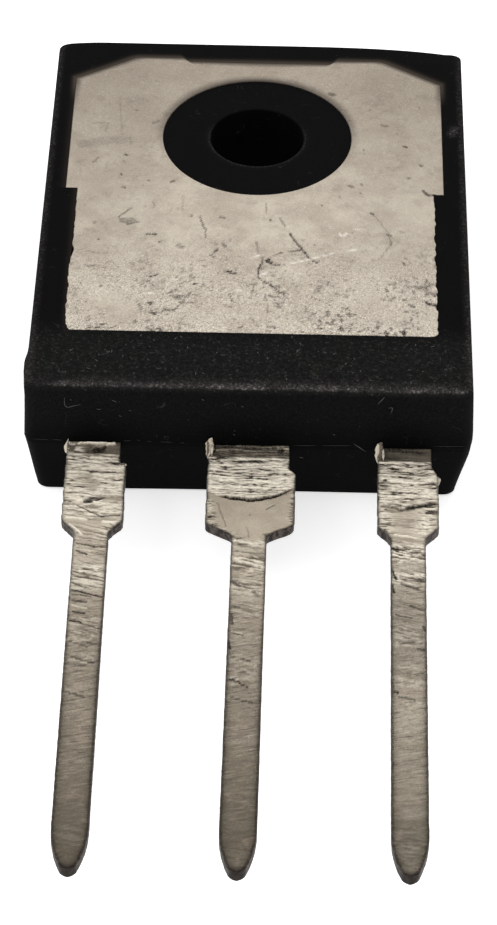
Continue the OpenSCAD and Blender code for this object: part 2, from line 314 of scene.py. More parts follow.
def pad_relief(x, y):
    """Height of the bare back in millimetres, and its soiled and rough places and its painted glints from 0
    to 1. Broad waves and grain are added, then dents and scratches are cut and blackened."""
    u, v = jolted(x, y, 17, 0.55)
    rough = ease(-y, 5.0, 10.6) * (0.8 + 0.4 * grain(x, y, 1.6, 1.3, 22)) + 0.5 * ease(-y, 10.9, 11.4)
    calm = np.maximum(stroke(x, y, [(-5.2, -9.9), (-4.6, -10.5)], 0.75), 0.8 * stroke(x, y, [(4.3, -9.9), (5.0, -10.4)], 0.7))
    rough = np.clip(rough * (1 - 0.8 * calm), 0, 1)
    height = 0.006 * grain(x, y, 2.1, 2.6, 11) + 0.003 * grain(x, y, 0.6, 0.6, 12)
    grit = grain(x, y, 0.17, 0.17, 13) + 0.8 * grain(x + 0.3 * y, y, 0.1, 0.09, 14)
    height += (0.0015 + 0.007 * rough) * grit
    cuts = [
        ([(-5.01, -5.05), (-4.56, -4.51)], 0.045, 0.4), ([(-4.95, -5.14), (-4.63, -5.44), (-4.27, -5.3)], 0.055, 0.5),
        ([(-4.84, -5.24), (-4.5, -5.2)], 0.16, 0.38), ([(-3.93, -6.0), (-3.54, -6.04)], 0.035, 1.0),
        ([(-1.99, -4.9), (-1.79, -5.75), (-1.75, -6.16)], 0.03, 0.6), ([(-3.69, -8.45), (-3.45, -8.36)], 0.04, 0.8),
        ([(-0.92, -8.03), (-0.67, -8.19)], 0.045, 0.9), ([(-0.81, -8.14), (-0.62, -8.18)], 0.04, 0.8),
        ([(-3.25, -10.43), (-2.74, -10.29), (-2.25, -9.37)], 0.035, 0.55), ([(-3.68, -9.93), (-3.6, -9.97)], 0.07, 0.8),
        ([(-3.58, -10.43), (-3.4, -10.52)], 0.07, 0.8), ([(-4.04, -9.95), (-3.9, -10.33)], 0.035, 0.7),
        ([(-4.13, -10.93), (-4.1, -11.0)], 0.045, 0.7), ([(-2.14, -8.83), (-2.04, -8.84)], 0.045, 1.0),
        ([(-1.78, -7.75), (-1.74, -7.83)], 0.04, 0.6), ([(-1.23, -4.92), (-1.15, -4.97)], 0.08, 0.5),
        ([(-1.1, -6.52), (-1.04, -6.63)], 0.07, 0.6), ([(-1.3, -6.83), (-1.4, -6.95)], 0.06, 0.6),
        ([(-1.55, -7.15), (-1.46, -7.27)], 0.055, 0.6), ([(-2.74, -6.6), (-2.6, -6.73)], 0.11, 0.4),
        ([(-2.34, -4.85), (-2.3, -4.9)], 0.06, 0.45), ([(-5.67, -6.37), (-5.66, -6.4)], 0.05, 0.6),
        ([(-3.45, -6.4), (-3.42, -6.46)], 0.05, 0.6), ([(-5.84, -5.34), (-5.86, -5.44)], 0.05, 0.35),
        ([(-2.87, -4.47), (-2.83, -4.5)], 0.05, 0.4), ([(-5.45, -9.03), (-5.44, -9.06)], 0.05, 0.5),
        ([(-4.41, -7.7), (-4.36, -7.73)], 0.09, 0.25), ([(-4.09, -7.52), (-4.06, -7.6)], 0.06, 0.35),
        ([(-6.05, -7.1), (-5.27, -7.2)], 0.03, 0.35), ([(-3.79, -4.01), (-3.69, -4.46)], 0.03, 0.3),
        ([(-0.83, -9.33), (-0.71, -9.75)], 0.03, 0.55), ([(0.49, -7.44), (0.63, -7.5)], 0.075, 1.0),
        ([(0.55, -7.28), (0.66, -7.6), (0.94, -7.63)], 0.04, 1.0),
        ([(0.71, -7.14), (0.93, -6.93), (1.7, -6.8)], 0.03, 0.6), ([(0.35, -7.2), (0.3, -7.9)], 0.05, 0.5),
        ([(0.28, -7.6), (0.17, -8.08), (0.26, -8.42), (0.68, -8.84), (1.21, -9.39)], 0.032, 0.75),
        ([(0.35, -8.51), (0.51, -9.8), (0.6, -10.39)], 0.026, 0.5), ([(0.11, -8.59), (-0.08, -9.59)], 0.026, 0.35),
        ([(-0.03, -10.68), (0.27, -11.09)], 0.03, 0.4), ([(0.08, -6.32), (0.18, -6.94)], 0.03, 0.4),
        ([(1.33, -5.87), (1.7, -6.62), (2.1, -7.3), (2.35, -7.5)], 0.04, 0.85), ([(0.93, -4.94), (1.13, -5.39)], 0.035, 0.45),
        ([(0.38, -4.05), (0.44, -4.6)], 0.03, 0.3), ([(0.59, -5.06), (0.62, -5.08)], 0.05, 0.7),
        ([(4.27, -4.51), (4.36, -4.54)], 0.055, 0.75), ([(4.36, -4.6), (4.71, -5.27), (4.9, -5.7)], 0.026, 0.3),
        ([(4.85, -5.78), (5.0, -5.83)], 0.05, 0.7), ([(4.94, -5.98), (5.02, -6.2), (4.96, -6.42)], 0.035, 0.5),
        ([(4.93, -6.51), (4.54, -7.23)], 0.035, 0.3), ([(5.35, -5.61), (5.48, -5.62)], 0.05, 0.45),
        ([(5.51, -7.11), (5.54, -7.13)], 0.05, 0.6), ([(5.43, -7.4), (5.5, -7.5)], 0.05, 0.5),
        ([(5.84, -6.97), (6.48, -6.91)], 0.03, 0.35), ([(4.8, -8.93), (4.84, -9.0)], 0.07, 0.5),
        ([(5.9, -8.72), (6.1, -8.85)], 0.06, 0.5), ([(1.81, -9.28), (2.28, -9.48), (2.88, -9.98)], 0.028, 0.4),
        ([(2.45, -10.71), (2.47, -11.01)], 0.03, 0.6), ([(3.4, -10.35), (3.54, -10.48)], 0.08, 0.5),
        ([(3.54, -10.85), (3.56, -10.95)], 0.05, 0.7), ([(4.14, -11.09), (4.16, -11.13)], 0.05, 0.6),
        ([(5.69, -10.44), (5.66, -10.74)], 0.035, 0.6), ([(5.43, -11.25), (5.44, -11.42)], 0.06, 1.0),
        ([(6.22, -9.6), (6.46, -9.72), (6.68, -9.76)], 0.07, 0.9), ([(2.47, -4.12), (2.5, -4.15)], 0.05, 0.45),
        ([(6.2, -3.12), (6.42, -3.4), (6.62, -3.36)], 0.06, 0.7), ([(3.46, -2.9), (3.6, -2.97)], 0.07, 0.35),
        ([(3.9, -2.8), (3.94, -2.87)], 0.06, 0.35), ([(5.5, -0.43), (5.62, -0.47)], 0.05, 0.75),
        ([(6.12, -1.58), (6.18, -1.61)], 0.06, 0.6), ([(5.64, -2.37), (5.74, -2.36)], 0.05, 0.4),
        ([(2.76, 2.8), (2.86, 2.74)], 0.11, 0.45), ([(4.72, 0.86), (4.9, 0.83)], 0.08, 0.35),
        ([(-6.22, 0.66), (-5.67, 0.7), (-5.73, 0.15)], 0.06, 0.17), ([(-4.66, 1.52), (-4.62, 1.49)], 0.06, 0.3),
        ([(-4.9, -1.28), (-4.84, -1.31)], 0.05, 0.8), ([(-3.14, -2.86), (-3.04, -2.8)], 0.06, 0.55),
        ([(-5.0, -2.42), (-4.99, -2.54)], 0.045, 0.5), ([(-4.94, -3.24), (-4.84, -3.3)], 0.08, 0.4),
        ([(-6.09, -1.77), (-5.93, -1.48)], 0.045, 0.33), ([(-5.31, 2.3), (-5.09, -0.02)], 0.05, 0.14),
        ([(-4.82, -0.21), (-4.74, -0.63)], 0.07, 0.2), ([(-3.94, 0.72), (-3.79, 0.87)], 0.09, 0.28),
        ([(-6.57, -0.66), (-5.58, -0.45), (-5.08, -0.39)], 0.25, 0.16), ([(-6.49, -9.08), (-6.3, -9.5)], 0.08, 0.25),
        ([(-2.67, -3.7), (-2.65, -4.61)], 0.03, 0.2),
    ]
    height, soil = incised(u, v, height, np.zeros(x.shape), cuts, 0.024)
    soil = np.maximum(soil, 0.1 * ease(grain(x, y, 0.5, 0.45, 24) + 0.6 * grain(x, y, 0.16, 0.16, 25), 0.4, 1.1))
    dots = np.random.default_rng(21)
    for a, b, size, dark in zip(dots.uniform(-6.4, 6.4, 130), -11.4 + 15.5 * dots.random(130) ** 1.6,
                                dots.uniform(0.02, 0.05, 130), dots.uniform(0.15, 0.6, 130)):
        dot = dark * stroke(u, v, [(a, b), (a + size * (dark - 0.4) * 4, b + size * 0.6)], size)
        height -= 0.012 * dot
        soil = np.maximum(soil, dot)
    flecks = ease(grain(x, y, 0.16, 0.09, 15) + 0.3 * grain(x, y, 0.07, 0.07, 18) + 0.5 * grain(x, y, 0.8, 0.8, 16), 0.5, 0.95)
    soil = np.maximum(soil, flecks * (0.04 + 0.7 * rough))
    # painted glints: short bright strokes laid on the pad
    shine = np.max([
        stroke(x, y, path, width) for path, width in (
            ([(1.25, -7.6), (2.1, -7.26), (2.87, -6.92)], 0.038), ([(3.37, -6.8), (4.01, -6.55)], 0.035),
            ([(3.12, -5.79), (3.23, -5.95), (3.38, -5.72)], 0.045),
            ([(-0.12, -7.3), (0.21, -7.11)], 0.035), ([(3.65, -5.5), (4.1, -5.49)], 0.03), ([(0.25, -8.25), (0.5, -8.11)], 0.04),
            ([(-3.85, -9.4), (-3.6, -9.38)], 0.03), ([(-0.6, -9.1), (-0.4, -9.12)], 0.03), ([(0.42, -4.85), (0.6, -4.8)], 0.04),
            ([(-2.95, -8.6), (-2.7, -8.62)], 0.03), ([(-4.15, -7.3), (-4.0, -7.28)], 0.03))], axis=0)
    return height, soil, rough, 0.75 * shine * ease(grain(x, y, 0.25, 0.2, 26), -1.0, 0.1)


angles = bearings(walk(PAD, 0.073))
rim = hits(angles, PAD)
rim = ragged(rim)
wide = hits(angles, PLATE)
around = np.stack([np.cos(angles), np.sin(angles)], 1)
reach = np.linalg.norm(rim - SLEEVE_R * around, axis=1)[:, None]


def plate_row(t, z, edge=rim):
    """Points a share t of the way from the hole's wall to an outline, at height z."""
    flat = SLEEVE_R * around * (1 - t) + edge * t
    return np.column_stack([flat, np.broadcast_to(z, len(flat))])


ROLL = 0.05
curl = np.linspace(0, np.pi / 2, 5)
shares = [ROLL / reach + (1 - 2 * ROLL / reach) * t for t in np.linspace(0, 1, 92)]
plate = [plate_row(0, 3.0), plate_row(0, 4.6)]
plate += [plate_row(ROLL * (1 - np.cos(a)) / reach, 4.995 - ROLL * (1 - np.sin(a))) for a in curl[:-1]]
top_start = len(plate)
plate += [plate_row(share, 4.995) for share in shares]
plate += [plate_row(1 - ROLL * (1 - np.sin(a)) / reach, 4.995 - ROLL * (1 - np.cos(a))) for a in curl[1:]]
plate += [plate_row(1, 4.32), plate_row(1, 4.3, wide), plate_row(1, 3.02, wide), plate_row(0.98, 3.0, wide)]
plate = np.array(plate)
height, soil, rough, shine = pad_relief(plate[..., 0], plate[..., 1])
facing = np.zeros(len(plate))
facing[top_start:top_start + len(shares)] = 1
edge = np.minimum(np.linalg.norm(plate[..., :2], axis=2) - SLEEVE_R,
                  np.linalg.norm(plate[..., :2] - rim, axis=2))
plate[..., 2] += facing[:, None] * (height - 0.006) * ease(edge, 0, 0.12)
plate[..., 2] = np.minimum(plate[..., 2], 5.0)
# painted shade: darker just inside the pad's upper edges, round the upper half of the hole and towards both sides
# except low down
shade = np.maximum(ease(-edge, -0.34, -0.02) * ease(plate[..., 1], 0.5, 4.0), 0.75 * ease(
    SLEEVE_R - np.linalg.norm(plate[..., :2], axis=2), -0.42, -0.03) * ease(plate[..., 1], -3.0, 2.5))
shade = np.maximum(shade, 0.12 * ease(np.abs(plate[..., 0]), 2.5, 5.0) * ease(plate[..., 1], -9.5, -6.5))

t = np.linspace(0, 2 * np.pi, 40, endpoint=False)
stake = np.stack([np.column_stack([0.15 + r * np.cos(t), -11.05 + r * np.sin(t), np.full(40, z)])
                  for r, z in ((0.3, 2.4), (0.72, 2.4), (0.8, 2.46), (0.8, 2.54),
                               (0.55, 2.55), (0.55, 3.1), (0.3, 3.1))])
blank = np.zeros(stake.shape[:2])
tab = skin("heat_spreader_plate", [(plate, True), (stake, False)], {
    "soil": [soil, blank], "shade": [shade, blank], "rough": [rough, blank], "shine": [shine, blank]}, 50)

tin = Finish("dull_tin_plate", Metallic=0.9, Specular_IOR_Level=0.5)
soiled, shaded, rough, painted_glint_mark = (tin.mark(name) for name in ("soil", "shade", "rough", "shine"))
cloud = tin.noise(1.7, 5, 0.62)
mottle = tin.noise(0.34, 4, 0.6, twist=0.6)
speckle = tin.noise(0.055, 2, 0.65)
bits = tin.noise(0.10, 4, 0.75, twist=1.0)
up_the_pad = tin.node("ShaderNodeSeparateXYZ", {}, {0: tin.place}, "Y")
streaks = tin.noise(1, 3, 0.6, tin.stretched((0.5, 0.06, 0.4), 27)) + tin.noise(1, 3, 0.6, tin.stretched((0.5, 0.06, 0.4), 112))
hairline = tin.ease(tin.noise(1, 2, 0.5, tin.stretched((3.2, 0.04, 0.5), -14)), 0.68, 0.78)
bare = tin.mix(tin.ease(cloud, 0.35, 0.68), (0.41, 0.354, 0.288), (0.545, 0.489, 0.405))
bare = tin.mix(tin.ease(mottle, 0.45, 0.75) * 0.3, bare, (0.37, 0.318, 0.255))
# painted shade: the pad darker towards its upper end
bare = tin.mix(tin.ease(up_the_pad, -5.5, 4.2) * 0.56, bare, (0.22, 0.182, 0.138))
bare = tin.mix(rough * 0.35, bare, (0.56, 0.505, 0.425))
# painted glints: bright specks and bits, densest where the pad is rubbed
bare = tin.mix(tin.ease(speckle, 0.53, 0.68) * (0.13 + 0.5 * rough), bare, (0.86, 0.81, 0.73))
bare = tin.mix(tin.ease(bits, 0.56, 0.66) * (0.05 + 0.5 * rough), bare, (0.86, 0.81, 0.73))
bare = tin.mix(tin.ease(streaks, 1.12, 1.26) * (0.1 + 0.3 * rough), bare, (0.80, 0.75, 0.67))
bare = tin.mix(tin.ease(streaks, 0.88, 0.74) * (0.1 + 0.4 * rough), bare, (0.20, 0.165, 0.135))
bare = tin.mix(tin.ease(speckle, 0.47, 0.33) * (0.12 + 0.6 * rough), bare, (0.17, 0.14, 0.115))
bare = tin.mix(tin.ease(bits, 0.45, 0.36) * (0.07 + 0.6 * rough), bare, (0.13, 0.105, 0.088))
bare = tin.mix(hairline * 0.4, bare, (0.68, 0.64, 0.56))
bare = tin.mix(soiled * (0.6 + 0.8 * tin.ease(speckle, 0.62, 0.4)), bare, (0.05, 0.04, 0.033))
# painted glints in near-white
bare = tin.mix(painted_glint_mark * 0.7, bare, (0.95, 0.92, 0.85))
# painted shade near the pad's upper edges, the hole and the sides
bare = tin.mix(shaded * 0.82, bare, (0.035, 0.026, 0.02))
fine = tin.relief(streaks * 0.5, 0.006)
fine = tin.relief(speckle, 0.012, fine)
tab.data.materials.append(tin.paint(
    Base_Color=bare, Normal=fine,
    Roughness=0.46 + 0.16 * cloud + 0.25 * soiled - 0.12 * tin.ease(speckle, 0.6, 0.75)))
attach(tab, "root")
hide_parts("heat_spreader_tab")


# ---- Leads -------------------------------------------------------------------------------------
# Three strips of 0.45 mm tinned copper, stamped with narrow necks at the body, wide shoulders and
# thin pins with closed tips. The drain lead steps up onto the tab and is staked to it; the other
# two end in flat bond posts. Their wide parts are scraped into ridges, with burrs pushed up.

END_Y = -14.75
LEAN = np.tan(np.radians([0.3, -0.25, -0.4]))
AXES = 0.15 + 5.45 * np.arange(-1, 2)
THIN, TIP_R, NOSE_R = 0.6, 4.2, 0.32
NOSE_S = 19.8 - NOSE_R
TIP_RISE = np.sqrt((TIP_R - NOSE_R) ** 2 - (TIP_R - THIN) ** 2)


def half_width(s, w, neck, inner):
    """Half the width at a distance s from the body: inner inside the body, then w / 2 less
    0.22 up to where the neck widens, a cosine slope from 3.9 to 4.68 down to the thin part, and at
    the tip two arcs that meet without a corner: the long sides and the small nose."""
    wide = w / 2 - 0.22 * (1 - ease(s, *neck))
    slope = THIN + (w / 2 - THIN) * (1 + np.cos(np.pi * np.clip((s - 3.9) / 0.78, 0, 1))) / 2
    closing = THIN - TIP_R + np.sqrt(TIP_R ** 2 - np.clip(s - NOSE_S + TIP_RISE, 0, 3) ** 2)
    nose = np.sqrt(np.maximum(NOSE_R ** 2 - np.clip(s - NOSE_S, 0, NOSE_R) ** 2, 1e-4))
    out = np.where(s < 3.9, wide, slope)
    out = np.where(s > NOSE_S - TIP_RISE, closing, out)
    out = np.where(s > NOSE_S + NOSE_R * TIP_RISE / (TIP_R - NOSE_R), nose, out)
    return np.where(s < -0.3, inner, out)


def ring_section(top, side, under):
    """Places round a rounded rectangle: share across, angle of the rounding, and +1 or -1
    for the upper or lower half. Top and underside get many points, sides and corners few."""
    a = np.linspace(0, 1, top)
    b = np.linspace(1, 0, under)
    corner = np.linspace(0, 90, 4)[1:-1]
    height = np.linspace(1, -1, side)[1:-1]
    return np.array(
        [(u, 90, 1) for u in a] + [(1, 90 - c, 1) for c in corner] + [(1, 0, 1)]
        + [(1, 0, h) for h in height] + [(1, 0, -1)] + [(1, -c, -1) for c in corner]
        + [(u, -90, -1) for u in b] + [(0, -90 - c, -1) for c in corner] + [(0, 180, -1)]
        + [(0, 180, -h) for h in height] + [(0, 180, 1)] + [(0, 180 - c, 1) for c in corner]).T


def strip(s, left, right, middle, thick=0.45, radius=0.07):
    """Rounded bar along -Y: each section spans left to right at distance s from the body,
    and its corners are arcs: x = edge -+ r + r cos a, z = middle +- (t / 2 - r) + r sin a."""
    share, angle, half = (row[None] for row in ring_section(91, 7, 31))
    angle = np.radians(angle)
    left, right, middle, s = (np.asarray(v)[:, None] for v in (left, right, middle, s))
    r = np.minimum(radius, (right - left) * 0.45)
    x = left + r + (right - left - 2 * r) * share + r * np.cos(angle)
    z = middle + (thick / 2 - radius) * half + radius * np.sin(angle)
    return np.stack([x, np.broadcast_to(END_Y - s, x.shape), z], -1), np.clip(np.sin(angle), 0, 1)


def sliver(path, widths, thick=0.05, across=(1, 0, 0), seed=0, rows=40, columns=32):
    """Torn flake or fibre: a flat ellipse carried along a smooth path; half widths are given
    at even steps, the section shrinks to a point at both ends, and grain makes it ragged."""
    knots = np.array(path, float)
    t = np.linspace(0, len(knots) - 1, rows)
    centre = np.stack([np.interp(t, np.arange(len(knots)), knots[:, k]) for k in range(3)], 1)
    for _ in range(rows // 5):
        centre[1:-1] = (centre[:-2] + 2 * centre[1:-1] + centre[2:]) / 4
    wide = np.interp(np.linspace(0, len(widths) - 1, rows), np.arange(len(widths)), widths)
    wide = wide * (1 + 0.2 * grain(t, 0 * t, 0.35, 1, seed))
    taper = np.sqrt(np.clip(np.sin(np.pi * np.linspace(0.02, 0.98, rows)), 0, 1))
    ahead = np.gradient(centre, axis=0)
    ahead /= np.linalg.norm(ahead, axis=1)[:, None]
    side = np.array(across, float) - ahead * (ahead @ np.array(across, float))[:, None]
    side /= np.linalg.norm(side, axis=1)[:, None]
    up = np.cross(ahead, side)
    a = np.linspace(0, 2 * np.pi, columns, endpoint=False)
    flake = centre[:, None] + side[:, None] * (wide * taper)[:, None, None] * np.cos(a)[None, :, None]
    swell = 1 + 0.4 * grain(flake[..., 0], flake[..., 1] - flake[..., 2], 0.07, 0.1, seed + 1)
    return flake + up[:, None] * ((thick * taper)[:, None] * swell * np.sin(a)[None])[..., None]


def spacing(*stretches):
    """Distances along a lead: each stretch is (from, to, step)."""
    return np.unique(np.round(np.concatenate([np.arange(a, b, d) for a, b, d in stretches]), 4))


def scraped(x, s, seed, slope=0.0):
    """Ridges of a scraped face: their height in millimetres, furrows darkened as painted shade and crests lightened as
    painted highlight.
    Three grains far wider than they are long are added, so that streaks of all lengths run
    across the lead, fork and end; slope is how far they drop per millimetre to the right."""
    s = s - slope * x + 0.06 * grain(x, s, 0.8, 0.5, seed) + 0.02 * grain(x, s, 0.25, 0.2, seed + 5)
    ridge = 0.36 * grain(x, s, 0.9, 0.08, seed + 1) + 0.42 * grain(x, s, 0.42, 0.055, seed + 2) \
        + 0.34 * grain(x, s, 0.13, 0.042, seed + 3)
    furrow = ease(-ridge, 0.15, 0.44)
    crest = ease(ridge, -0.2, 0.28)
    return 0.034 * ridge - 0.014 * furrow, furrow, crest


def slanted(x, s, seed):
    """The same ridges below the slope, where they drop to the right and thin out downwards."""
    strength = ease(s, 4.0, 4.4) * (1 - 0.7 * ease(s, 5.0, 8.5)) * (1 - 0.8 * ease(s, 10, 15))
    strength = strength * (0.3 + 0.7 * ease(grain(x, s, 1.4, 0.6, seed + 7), -0.3, 0.4))
    return [strength * part for part in scraped(x, s, seed, 0.24)]


def lead(name, i, width, necks, inner, s, middle, relief, burrs):
    """One lead: the strip between its two edges, relief added on its upper face, burrs as
    closed shells of the same metal, and its marks kept for the finish."""
    axis = AXES[i]
    lean = np.maximum(s, 0) * LEAN[i]
    rough_edge = ease(s, 0.3, 0.9) * (1 - 0.7 * ease(s, 4.2, 5.0))
    left = axis + lean - half_width(s, width, necks[0], 0) \
        - rough_edge * (0.018 * grain(s, 0, 0.16, 1, 40 + i) + 0.014 * grain(s, 0, 0.06, 1, 43 + i))
    right = axis + lean + half_width(s, width, necks[1], 0) \
        + rough_edge * (0.018 * grain(s, 0, 0.16, 1, 46 + i) + 0.014 * grain(s, 0, 0.06, 1, 49 + i))
    left = np.where(s < -0.3, inner(s)[0], left)
    right = np.where(s < -0.3, inner(s)[1], right)
    body, upward = strip(s, left, right, middle(s))
    x, along = body[..., 0] - axis - lean[:, None], END_Y - body[..., 1]
    height, soil, scrape = relief(x, along)
    inset = np.minimum(body[..., 0] - left[:, None], right[:, None] - body[..., 0])
    # darker along the edges: narrowly from the neck on, more broadly on the thin parts
    edge_darkening = np.exp(-(inset / 0.07) ** 2) * ease(along, 0.6, 0.9) * (0.8 + 0.3 * grain(x, along, 0.3, 0.13, 52 + i)) \
        + 0.45 * np.exp(-(inset / 0.2) ** 2) * ease(along, 7.0, 12.0)
    soil = np.maximum(soil, np.minimum(edge_darkening, 0.85))
    body[..., 2] += height * upward ** 2
    flank = np.broadcast_to(1 - upward, x.shape)
    # darker along the lead towards the tip; the source lead is darker below its slope and lighter further on
    age = 0.5 * ease(along, 4.0, 10.0) + 0.5 * ease(along, 10.0, 20.0) \
        + (i == 2) * (0.24 * ease(along, 4.2, 5.0) * (1 - ease(along, 8.0, 12.0)) - 0.22 * ease(along, 11.0, 13.0) * (1 - ease(along, 16.0, 18.5)))
    shells = [(body, False)] + [(burr, False) for burr in burrs]
    blots = [0.75 * ease(grain(b[..., 0], b[..., 1] - b[..., 2], 0.055, 0.09, 93 + i), 0.0, 0.6) for b in burrs]
    blank = [np.zeros(burr.shape[:2]) for burr in burrs]
    marks = {"soil": [soil * upward] + blots, "scrape": [scrape * upward] + [0.3 * (1 - b) for b in blots],
             "flank": [flank] + blank, "along": [along] + [b + 1.0 for b in blank], "age": [age] + blank}
    piece = skin(name, shells, marks, 60)
    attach(piece, "root")
    return piece


outside = spacing((-0.3, 0.0, 0.1), (0.0, 4.9, 0.024), (4.9, 9.5, 0.034), (9.5, 17.8, 0.08), (17.8, NOSE_S, 0.05))
nose = NOSE_S + NOSE_R * np.sin(np.linspace(0, np.pi / 2, 12)[1:])
outside = np.append(outside, nose)


def gate_relief(x, s):
    """Gate lead: ridged from the neck to the slope, with a calm patch, two torn holes and
    smears of pushed metal; above the ridges lies a dark band with a pit and a bright lip,
    and slanted scratches run on down the thin part."""
    u, v = jolted(x, s, 61, 0.5)
    height, soil, crest = scraped(x, s, 64, 0.05)
    calm = np.maximum(stroke(u, v, [(-0.28, 1.85), (-0.05, 2.3)], 0.26),
                      1.3 * stroke(u, v, [(0.5, 2.92), (1.0, 2.88)], 0.13))
    grip = ease(s, 0.58, 0.68) * (1 - ease(s + 0.3 * grain(x, s, 0.4, 0.3, 63), 3.7, 4.25)) * (1 - 0.7 * calm)
    height, soil, crest = height * grip, soil * grip * (1 - 0.6 * ease(s, 2.82, 3.05)), (0.18 + 0.66 * crest) * grip
    for part, add in zip((height, soil, crest), slanted(x, s, 70)):
        part += add
    smear = np.maximum(stroke(u, v, [(-0.87, 3.9), (-0.2, 4.0)], 0.07), stroke(u, v, [(0.4, 4.1), (1.0, 4.15)], 0.07))
    smear = np.maximum(smear, stroke(u, v, [(-0.75, 4.25), (-0.3, 4.75)], 0.05))
    height, soil, crest = height + 0.03 * smear, soil * (1 - smear), np.maximum(crest, smear)
    band = 1 - ease(s, 0.55, 0.64)
    lip = ease(np.exp(-((v - 0.06 - 0.05 * x * x) / 0.045) ** 2), 0.2, 0.8) * ease(x, -0.75, -0.6) * (1 - ease(x, 0.6, 0.7))
    torn_corner = band * (1 - ease(x + 0.3 * s, -0.45, -0.15))
    height += 0.04 * lip - 0.03 * band * (1 - lip)
    dull = band * (0.4 + 0.3 * grain(x, s, 0.35, 0.12, 67)) * (1 - lip) * (1 - 0.7 * torn_corner)
    soil = np.maximum(soil * (1 - band), dull)
    crest = np.maximum(crest, np.maximum(lip, torn_corner * ease(grain(x, s, 0.22, 0.07, 68), -0.3, 0.3)))
    height, soil = incised(u, v, height, soil, [
        ([(-0.02, 0.36), (0.14, 0.36)], 0.2, 1.0), ([(0.14, 0.3), (0.28, 0.22)], 0.1, 1.0), ([(-0.22, 3.08), (-0.13, 3.05)], 0.12, 1.0),
        ([(0.07, 3.0), (0.28, 2.92)], 0.065, 1.0), ([(-0.53, 3.3), (0.34, 3.83)], 0.03, 0.9),
        ([(0.34, 3.83), (0.95, 3.72)], 0.03, 0.8), ([(-1.0, 3.05), (-0.8, 3.1)], 0.05, 0.9),
        ([(-0.7, 2.6), (0.4, 2.85)], 0.025, 0.7), ([(-0.9, 3.5), (-0.3, 3.62)], 0.03, 0.7)], 0.05)
    height, soil = incised(u, v, height, soil, [
        ([(-0.45, 5.17), (0.1, 5.32), (0.6, 5.35)], 0.03, 0.8), ([(-0.46, 5.56), (-0.11, 5.72)], 0.045, 0.8),
        ([(-0.51, 6.56), (-0.33, 6.63)], 0.04, 0.6), ([(-0.48, 7.11), (-0.03, 7.36)], 0.045, 0.6),
        ([(-0.52, 7.45), (-0.02, 7.61), (0.56, 7.76)], 0.035, 0.95), ([(-0.5, 7.67), (0.14, 7.76)], 0.03, 0.8),
        ([(-0.46, 7.96), (0.0, 8.05)], 0.06, 0.65), ([(-0.41, 8.5), (-0.02, 8.56)], 0.045, 0.8),
        ([(-0.49, 8.93), (-0.1, 9.0)], 0.04, 0.9), ([(-0.1, 9.04), (0.57, 9.28)], 0.025, 0.6),
        ([(-0.46, 9.91), (0.16, 10.13)], 0.04, 0.65), ([(0.15, 9.96), (0.58, 10.04)], 0.035, 0.55),
        ([(-0.35, 10.62), (-0.01, 10.75), (0.5, 10.91)], 0.045, 0.7), ([(-0.46, 10.94), (0.1, 10.99)], 0.07, 0.5),
        ([(-0.44, 12.24), (0.15, 12.44)], 0.05, 0.6)], 0.02)
    light = np.maximum(stroke(u, v, [(-0.46, 5.47), (0.03, 5.57)], 0.035), stroke(u, v, [(-0.47, 8.21), (0.02, 8.34)], 0.045))
    light = np.maximum(light, 0.6 * stroke(u, v, [(-0.49, 12.1), (-0.04, 12.2)], 0.04))
    return height, soil, np.maximum(crest, 0.5 * light)


